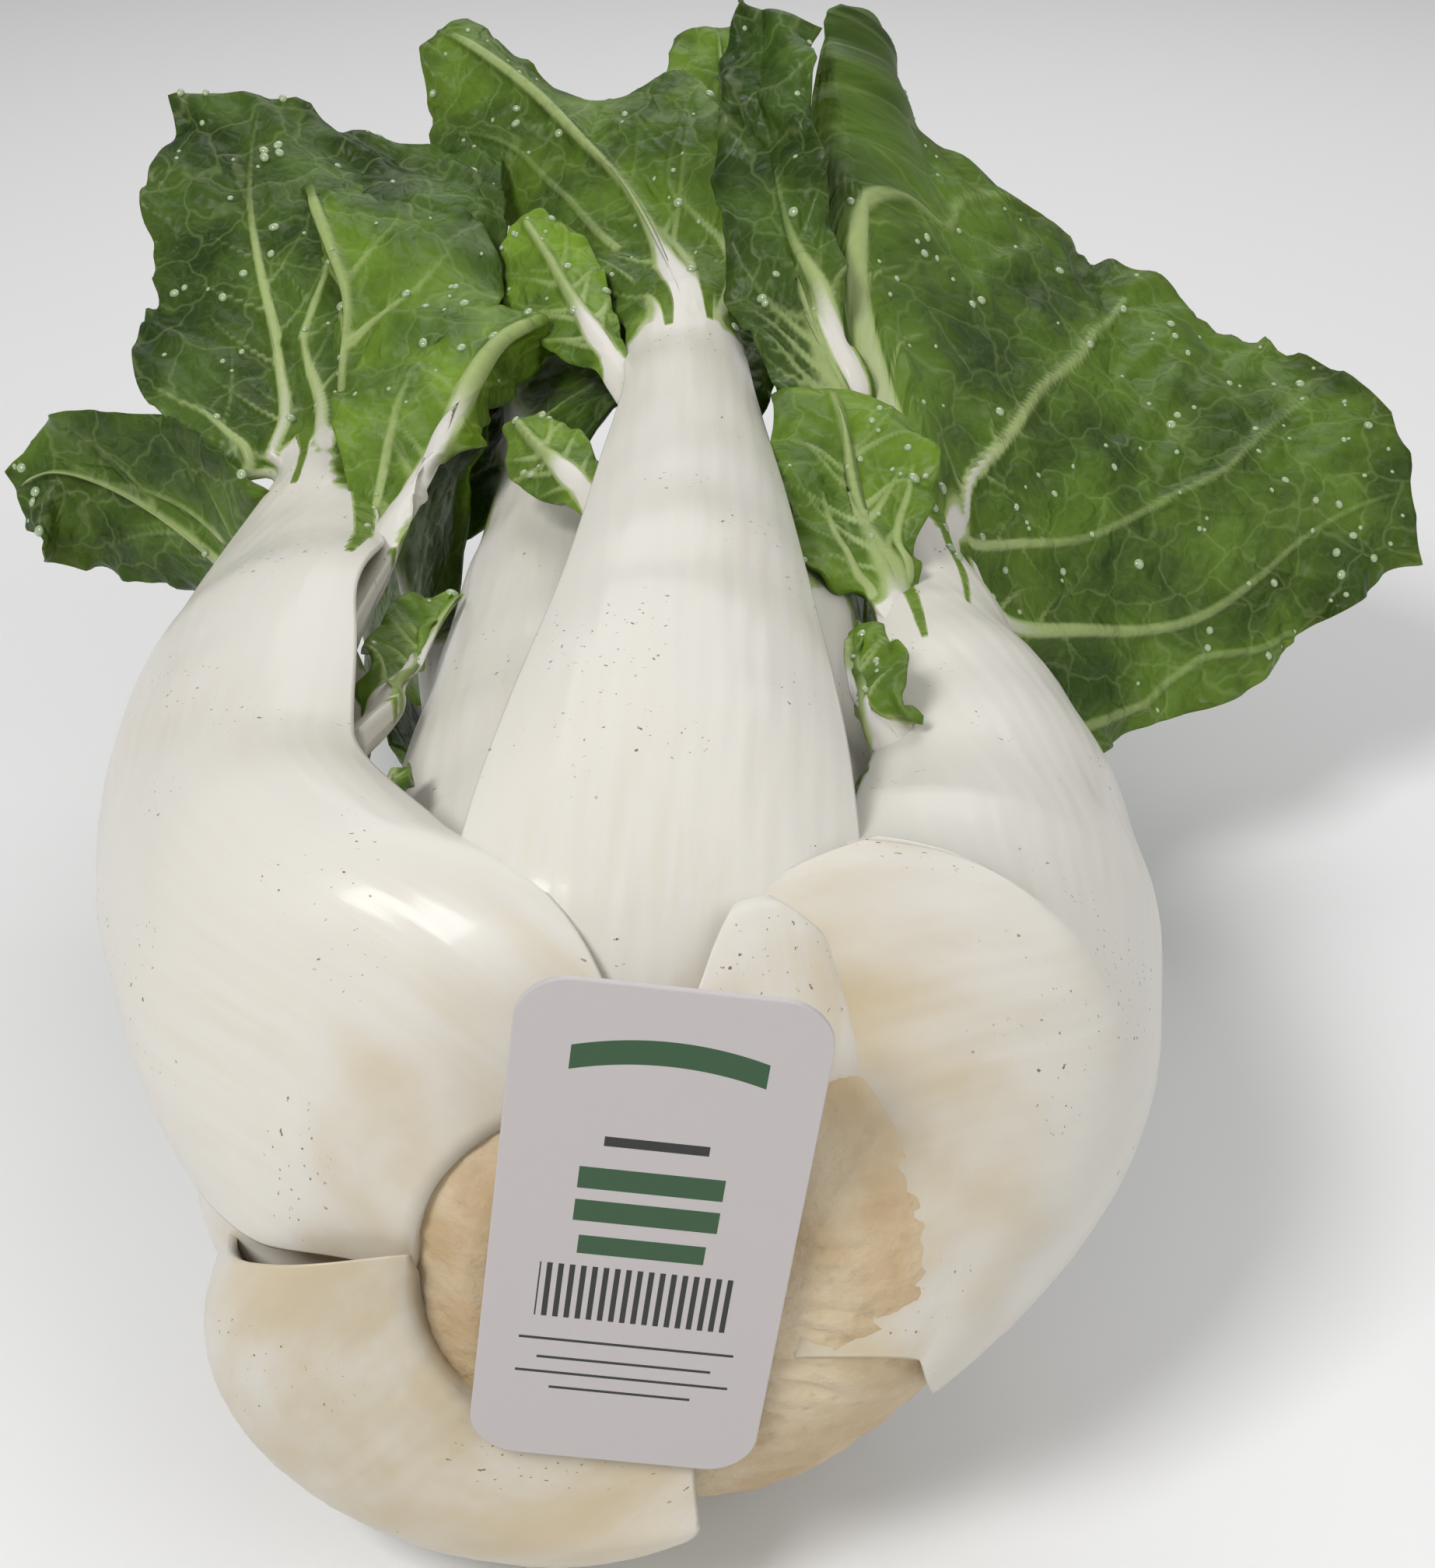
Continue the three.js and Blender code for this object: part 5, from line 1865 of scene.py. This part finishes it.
@dataclass(frozen=True)
class CardFinish:
    """White card with a plain print on its front.

    Attributes:
        name: the material's name.
        card: the card's white.
        green: the green ink.
        black: the black ink.
        band: the arched green band: its height, width and thickness.
        arch: how much the band bends down towards its ends.
        bars: the green bars: height, width and thickness of each.
        title: the black bar between them.
        stripes: the block of upright black stripes.
        pitch: how many stripes there are in a millimetre.
        lines: the fine black lines.
    """

    name: str = "printed_card"
    card: Colour = (0.5, 0.468, 0.462)
    green: Colour = (0.02, 0.075, 0.025)
    black: Colour = (0.015, 0.015, 0.015)
    band: Row = (29.3, 23.0, 3.6)
    arch: float = -0.014
    bars: tuple[Row, ...] = ((9.5, 17.5, 3.4), (4.3, 17.5, 3.4), (-1.2, 15.5, 3.0))
    title: Row = (15.4, 12.5, 1.5)
    stripes: Row = (-9.2, 24.0, 9.0)
    pitch: float = 0.72
    lines: tuple[Row, ...] = (
        (-17.6, 27.0, 0.45),
        (-20.8, 22.0, 0.45),
        (-23.4, 27.0, 0.45),
        (-26.0, 18.0, 0.45),
    )

    def box(self, g: Graph, x: Socket, z: Socket, row: Row) -> Socket:
        """A mask that is 1 inside a rectangle.

        Args:
            g: the node tree.
            x: distance across the card.
            z: height up the card.
            row: the rectangle's height on the card, width and thickness.

        Returns:
            The mask.
        """
        height, width, thickness = row
        return g.times(g.math("COMPARE", x, 0.0, width / 2), g.math("COMPARE", z, height, thickness / 2))

    def build(self) -> bpy.types.Material:
        """Makes the material.

        Returns:
            The material.
        """
        g = Graph(self.name, Roughness=0.45, Coat_Weight=0.1)
        parts = g.node("ShaderNodeSeparateXYZ", {"Vector": g.places("card")}).outputs
        x, z = parts["X"], parts["Z"]
        front = g.math("LESS_THAN", parts["Y"], 0.0)
        arched = g.math("SUBTRACT", z, g.times(g.times(x, x), self.arch))
        green = [self.box(g, x, arched, self.band)] + [self.box(g, x, z, bar) for bar in self.bars]
        stripes = g.math("LESS_THAN", g.math("FRACT", g.times(x, self.pitch)), 0.5)
        black = [self.box(g, x, z, self.title), g.times(stripes, self.box(g, x, z, self.stripes))]
        black += [self.box(g, x, z, line) for line in self.lines]
        colour = self.card
        for masks, ink in ((green, self.green), (black, self.black)):
            for mask in masks:
                colour = g.mix(g.times(mask, front), colour, ink)
        g.paint(Base_Color=colour)
        return g.material


@dataclass(frozen=True)
class WaterFinish:
    """Opaque drops whose pale green is painted light, for the light that a clear drop gathers over the leaf,
    and which shine with a glossy coat.

    Attributes:
        name: the material's name.
        painted_light_tint: their colour: painted light, paler than the leaf below as the light in a clear
            drop would make it.
    """

    name: str = "water"
    painted_light_tint: Colour = (0.34, 0.42, 0.24)

    def build(self) -> bpy.types.Material:
        """Makes the material."""
        painted_light_tint = colour_of(self.painted_light_tint)
        # The pale colour is painted light that stands in for the light a clear drop gathers; the shine comes
        # from the coat.
        return Graph(self.name, Roughness=0.05, IOR=1.4, Coat_Weight=1.0, Base_Color=painted_light_tint).material


# ---------------------------------------------------------------- sub-assemblies
@dataclass
class Leaves:
    """All the leaves and lobes, each a closed skin over its stalk and blade.

    Attributes:
        growths: the leaves and lobes.
        dark: the deep green of the darkest.
        middle: the light green of the darkest, and the deep green of the brightest.
        bright: the light green of the brightest.
    """

    growths: list[Growth]
    dark: Colour = (0.014, 0.034, 0.005)
    middle: Colour = (0.062, 0.118, 0.016)
    bright: Colour = (0.17, 0.29, 0.02)

    def finish(self, growth: Growth) -> bpy.types.Material:
        """The finish of one leaf, brighter as its shade is.

        Args:
            growth: the leaf.

        Returns:
            The material.
        """
        low = tuple(a + (b - a) * growth.shade for a, b in zip(self.dark, self.middle))
        high = tuple(a + (b - a) * growth.shade for a, b in zip(self.middle, self.bright))
        return LeafFinish(f"{growth.name}_skin", low, high).build()

    def build(self) -> list[bpy.types.Object]:
        """Builds every leaf's piece.

        Returns:
            The pieces.
        """
        pieces = []
        for growth in self.growths:
            nodes = [] if growth.joins else [f"stalk_{growth.name}"]
            if growth.blade:
                nodes.append(f"blade_{growth.name}")
            piece = add_piece(f"{growth.name}_leaf", growth.build(), self.finish(growth), tuple(nodes))
            pieces.append(piece)
        return pieces


@dataclass
class Drops:
    """Drops of water lying on the leaves.

    Attributes:
        growths: the leaves, already built.
        size: the smallest and the largest radius.
        flat: how high a drop stands for its radius.
        narrowest: a drop's least width for its length.
        upright: how far up the skin has to face where a drop lies, from 0 to 1.
        whitest: how white it may be there.
        seed: where the drops' chance comes from.
    """

    growths: list[Growth]
    size: tuple[float, float] = (0.45, 1.25)
    flat: float = 0.62
    narrowest: float = 0.75
    upright: float = 0.35
    whitest: float = 0.6
    seed: int = 7

    def build(self) -> bpy.types.Object:
        """Builds the piece that holds all the drops.

        Returns:
            The piece.
        """
        draw = np.random.default_rng(self.seed)
        small, large = self.size
        water = bmesh.new()
        for growth in self.growths:
            for centre, normal in self.places(growth, draw):
                radius = small + (large - small) * draw.uniform() ** 2
                upright = Vector((0, 0, 1)).rotation_difference(Vector(normal)).to_matrix().to_4x4()
                shift = Matrix.Translation(Vector((centre - np.array([*ORIGIN, 0.0])) * METRES))
                width = radius * draw.uniform(self.narrowest, 1.0)
                stretch = Matrix.Diagonal((radius, width, radius * self.flat, 1.0))
                placed = shift @ upright @ Matrix.Rotation(draw.uniform(0, math.pi), 4, "Z") @ stretch
                bmesh.ops.create_icosphere(water, subdivisions=2, radius=METRES, matrix=placed)
        return add_piece("drops", mesh_from("drops", water), WaterFinish().build())

    def places(self, growth: Growth, draw: np.random.Generator) -> list[tuple[Array, Array]]:
        """Where a leaf's drops lie.

        Args:
            growth: the leaf.
            draw: where the drops' chance comes from.

        Returns:
            The drops' middles, each with the skin's direction there.
        """
        near = growth.skin.near
        normal = unit(np.cross(np.gradient(near, axis=1), np.gradient(near, axis=0)))
        normal *= np.sign(np.sum(normal * (near - growth.skin.far), axis=-1, keepdims=True))
        fit = np.argwhere((normal[..., 2] > self.upright) & (growth.skin.pale < self.whitest))
        picked = fit[draw.integers(len(fit), size=growth.drops)] if len(fit) else []
        return [(near[i, j], normal[i, j]) for i, j in picked]


@dataclass
class Butt:
    """The short stump that the stalks leave, cut flat.

    Attributes:
        rings: (along, radius, unevenness) from the cut face inwards.
        centre: its middle, across and up.
        lobes: (share, number, phase) of each wave in its outline.
        cut_share: the share of the rings that the cut face takes.
        cut_rough: how rough the cut face is, in millimetres.
        side_rough: how rough the rest is.
        pits: the deepest hollow and the highest point of that roughness.
    """

    rings: tuple[Row, ...] = (
        (-12.3, 0, 0.0),
        (-12.2, 9.5, 0.03),
        (-11.8, 19, 0.05),
        (-10.4, 26.5, 0.06),
        (-7.4, 33, 0.05),
        (-2.5, 39.5, 0.05),
        (4, 42, 0.04),
        (10, 36, 0.02),
        (16, 16, 0),
        (16.5, 0, 0),
    )
    centre: tuple[float, float] = STUMP_CENTRE
    lobes: tuple[Row, Row] = ((0.6, 3, 3.6), (0.4, 5, 0.0))
    cut_share: float = 0.3
    cut_rough: float = 0.5
    side_rough: float = 0.25
    pits: tuple[float, float] = (-0.6, 0.3)

    def build(self) -> bpy.types.Object:
        """Builds the stump's piece.

        Returns:
            The piece.
        """
        ball = bmesh.new()
        bmesh.ops.create_uvsphere(ball, u_segments=128, v_segments=72, radius=1.0)
        mesh = mesh_from("stump", ball)
        x, y, z = read_points(mesh).T
        angle = np.arctan2(x, y)
        share = np.arccos(np.clip(z, -1, 1)) / math.pi
        along, radius, swell = between(np.array(self.rings, dtype=float), share * (len(self.rings) - 1)).T
        outline = sum(size * np.sin(number * angle + phase) for size, number, phase in self.lobes)
        radius = np.maximum(radius, 0.0) * (1 + swell * outline)
        across, up = self.centre[0] + radius * np.sin(angle), self.centre[1] + radius * np.cos(angle)
        points = np.stack([across, along, up], axis=1)
        rough = np.where(share < self.cut_share, self.cut_rough, self.side_rough) * CUT.over(points)
        points[:, 1] -= np.clip(rough, *self.pits)
        write_points(mesh, points)
        mesh.flip_normals()
        piece = add_piece("stump", mesh, ButtFinish().build(), ("butt",))
        return piece


@dataclass
class Tag:
    """A stiff card with rounded corners, standing against the butt.

    Attributes:
        size: its width, thickness and height.
        corner: its corners' radius.
        rim: the radius of the rounding along its rims.
        lean: how far it leans back, in degrees.
        turn: how far it is turned in its own plane.
        centre: its middle.
    """

    size: tuple[float, float, float] = (37.0, 0.9, 77.0)
    corner: float = 6.5
    rim: float = 0.15
    lean: float = 2.2
    turn: float = 7.5
    centre: tuple[float, float, float] = (4.2, -14.6, AXIS_HEIGHT + 11.6)

    def round_off(self, card: bmesh.types.BMesh, through: bool, radius: float, segments: int) -> None:
        """Rounds some of the card's edges.

        Args:
            card: the card.
            through: whether to round the edges through its thickness or those round its two faces.
            radius: the rounding's radius.
            segments: the flats along the rounding.
        """
        half = self.size[1] / 2
        depths = [(edge, abs(edge.verts[0].co.y - edge.verts[1].co.y)) for edge in card.edges]
        edges = [edge for edge, depth in depths if (depth > half) == through]
        shape = {"offset_type": "OFFSET", "affect": "EDGES", "profile": 0.5, "material": -1}
        bmesh.ops.bevel(card, geom=edges, offset=radius, segments=segments, **shape)

    def build(self) -> bpy.types.Object:
        """Builds the card's piece.

        Returns:
            The piece.
        """
        card = bmesh.new()
        bmesh.ops.create_cube(card, size=1.0)
        bmesh.ops.scale(card, vec=self.size, verts=card.verts)
        self.round_off(card, True, self.corner, 12)
        self.round_off(card, False, self.rim, 2)
        mesh = mesh_from("card", card, smooth=False)
        flat = read_points(mesh)
        store_places(mesh, "card", flat)
        lean, turn = math.radians(self.lean), math.radians(self.turn)
        x, y, z = flat.T
        y, z = y * math.cos(lean) - z * math.sin(lean), z * math.cos(lean) + y * math.sin(lean)
        x, z = x * math.cos(turn) + z * math.sin(turn), z * math.cos(turn) - x * math.sin(turn)
        write_points(mesh, np.stack([x, y, z], axis=1) + np.array(self.centre))
        piece = add_piece("card_tag", mesh, CardFinish().build(), ("tag",))
        return piece


# ---------------------------------------------------------------- studio
@dataclass(frozen=True)
class Lamp:
    """A soft square light that looks at the middle of the head.

    Attributes:
        name: its name.
        place: where it hangs.
        size: the length of its side.
        power: its power in watts.
        aim: how high above the floor it looks.
    """

    name: str
    place: tuple[float, float, float]
    size: float
    power: float
    aim: float = 0.06

    def build(self) -> None:
        """Hangs the light."""
        lamp = bpy.data.lights.new(self.name, "AREA")
        lamp.size, lamp.energy = self.size, self.power
        holder = bpy.data.objects.new(self.name, lamp)
        holder.location = self.place
        x, y, z = np.array(self.place) - np.array([0.0, 0.0, self.aim])
        holder.rotation_euler = (math.atan2(math.hypot(x, y), z), 0.0, math.atan2(x, -y))
        bpy.context.scene.collection.objects.link(holder)


@dataclass
class Studio:
    """A pale floor, soft lights and the camera. Lengths are in metres.

    Attributes:
        eye: the camera's place.
        pitch: how far it looks down, in degrees.
        lens: its focal length in millimetres.
        reach: half the floor's side.
        grey: the floor's white.
        sky: the strength of the light from all round.
        lamps: the lights.
    """

    eye: tuple[float, float, float] = (-0.0015, -0.36367, 0.2632)
    pitch: float = 30.0
    lens: float = 53.571
    reach: float = 4.0
    grey: float = 0.82
    sky: float = 0.3
    lamps: tuple[Lamp, ...] = (
        Lamp("key", (-0.5, -0.65, 0.95), 0.35, 9.0),
        Lamp("fill", (0.8, -0.6, 0.7), 1.0, 4.0),
        Lamp("back", (0.1, 0.7, 0.9), 0.9, 4.0),
    )

    def build(self) -> None:
        """Builds the floor, the lights and the camera."""
        self.floor()
        for lamp in self.lamps:
            lamp.build()
        world = bpy.data.worlds.new("studio")
        world.use_nodes = True
        world.node_tree.nodes["Background"].inputs["Color"].default_value = (1.0, 1.0, 1.0, 1.0)
        world.node_tree.nodes["Background"].inputs["Strength"].default_value = self.sky
        bpy.context.scene.world = world
        self.camera()
        bpy.context.scene.view_settings.view_transform = "Standard"

    def floor(self) -> None:
        """Lays the floor."""
        sheet = bmesh.new()
        bmesh.ops.create_grid(sheet, x_segments=1, y_segments=1, size=self.reach)
        mesh = mesh_from("floor", sheet, smooth=False)
        floor = bpy.data.objects.new("floor", mesh)
        bpy.context.scene.collection.objects.link(floor)
        white = Graph("floor_white", Base_Color=colour_of((self.grey,) * 3), Roughness=0.8)
        mesh.materials.append(white.material)

    def camera(self) -> None:
        """Sets up the camera."""
        camera = bpy.data.cameras.new("camera")
        camera.lens = self.lens
        camera.clip_start = 0.01
        holder = bpy.data.objects.new("camera", camera)
        holder.location = self.eye
        holder.rotation_euler = (math.radians(90 - self.pitch), 0.0, 0.0)
        bpy.context.scene.collection.objects.link(holder)
        bpy.context.scene.camera = holder


def triangles(piece: bpy.types.Object) -> int:
    """How many triangles a piece has."""
    return sum(len(face.vertices) - 2 for face in piece.data.polygons)


def main() -> None:
    """Builds the head piece by piece and reports each through the log."""
    logging.basicConfig(level=logging.INFO, format="%(name)s %(message)s")
    pieces = Leaves(LEAVES).build()
    pieces += [Drops(LEAVES).build(), Butt().build(), Tag().build()]
    for piece in pieces:
        LOG.info("%s: %d triangles", piece.name, triangles(piece))
    Studio().build()


if __name__ == "__main__":
    main()
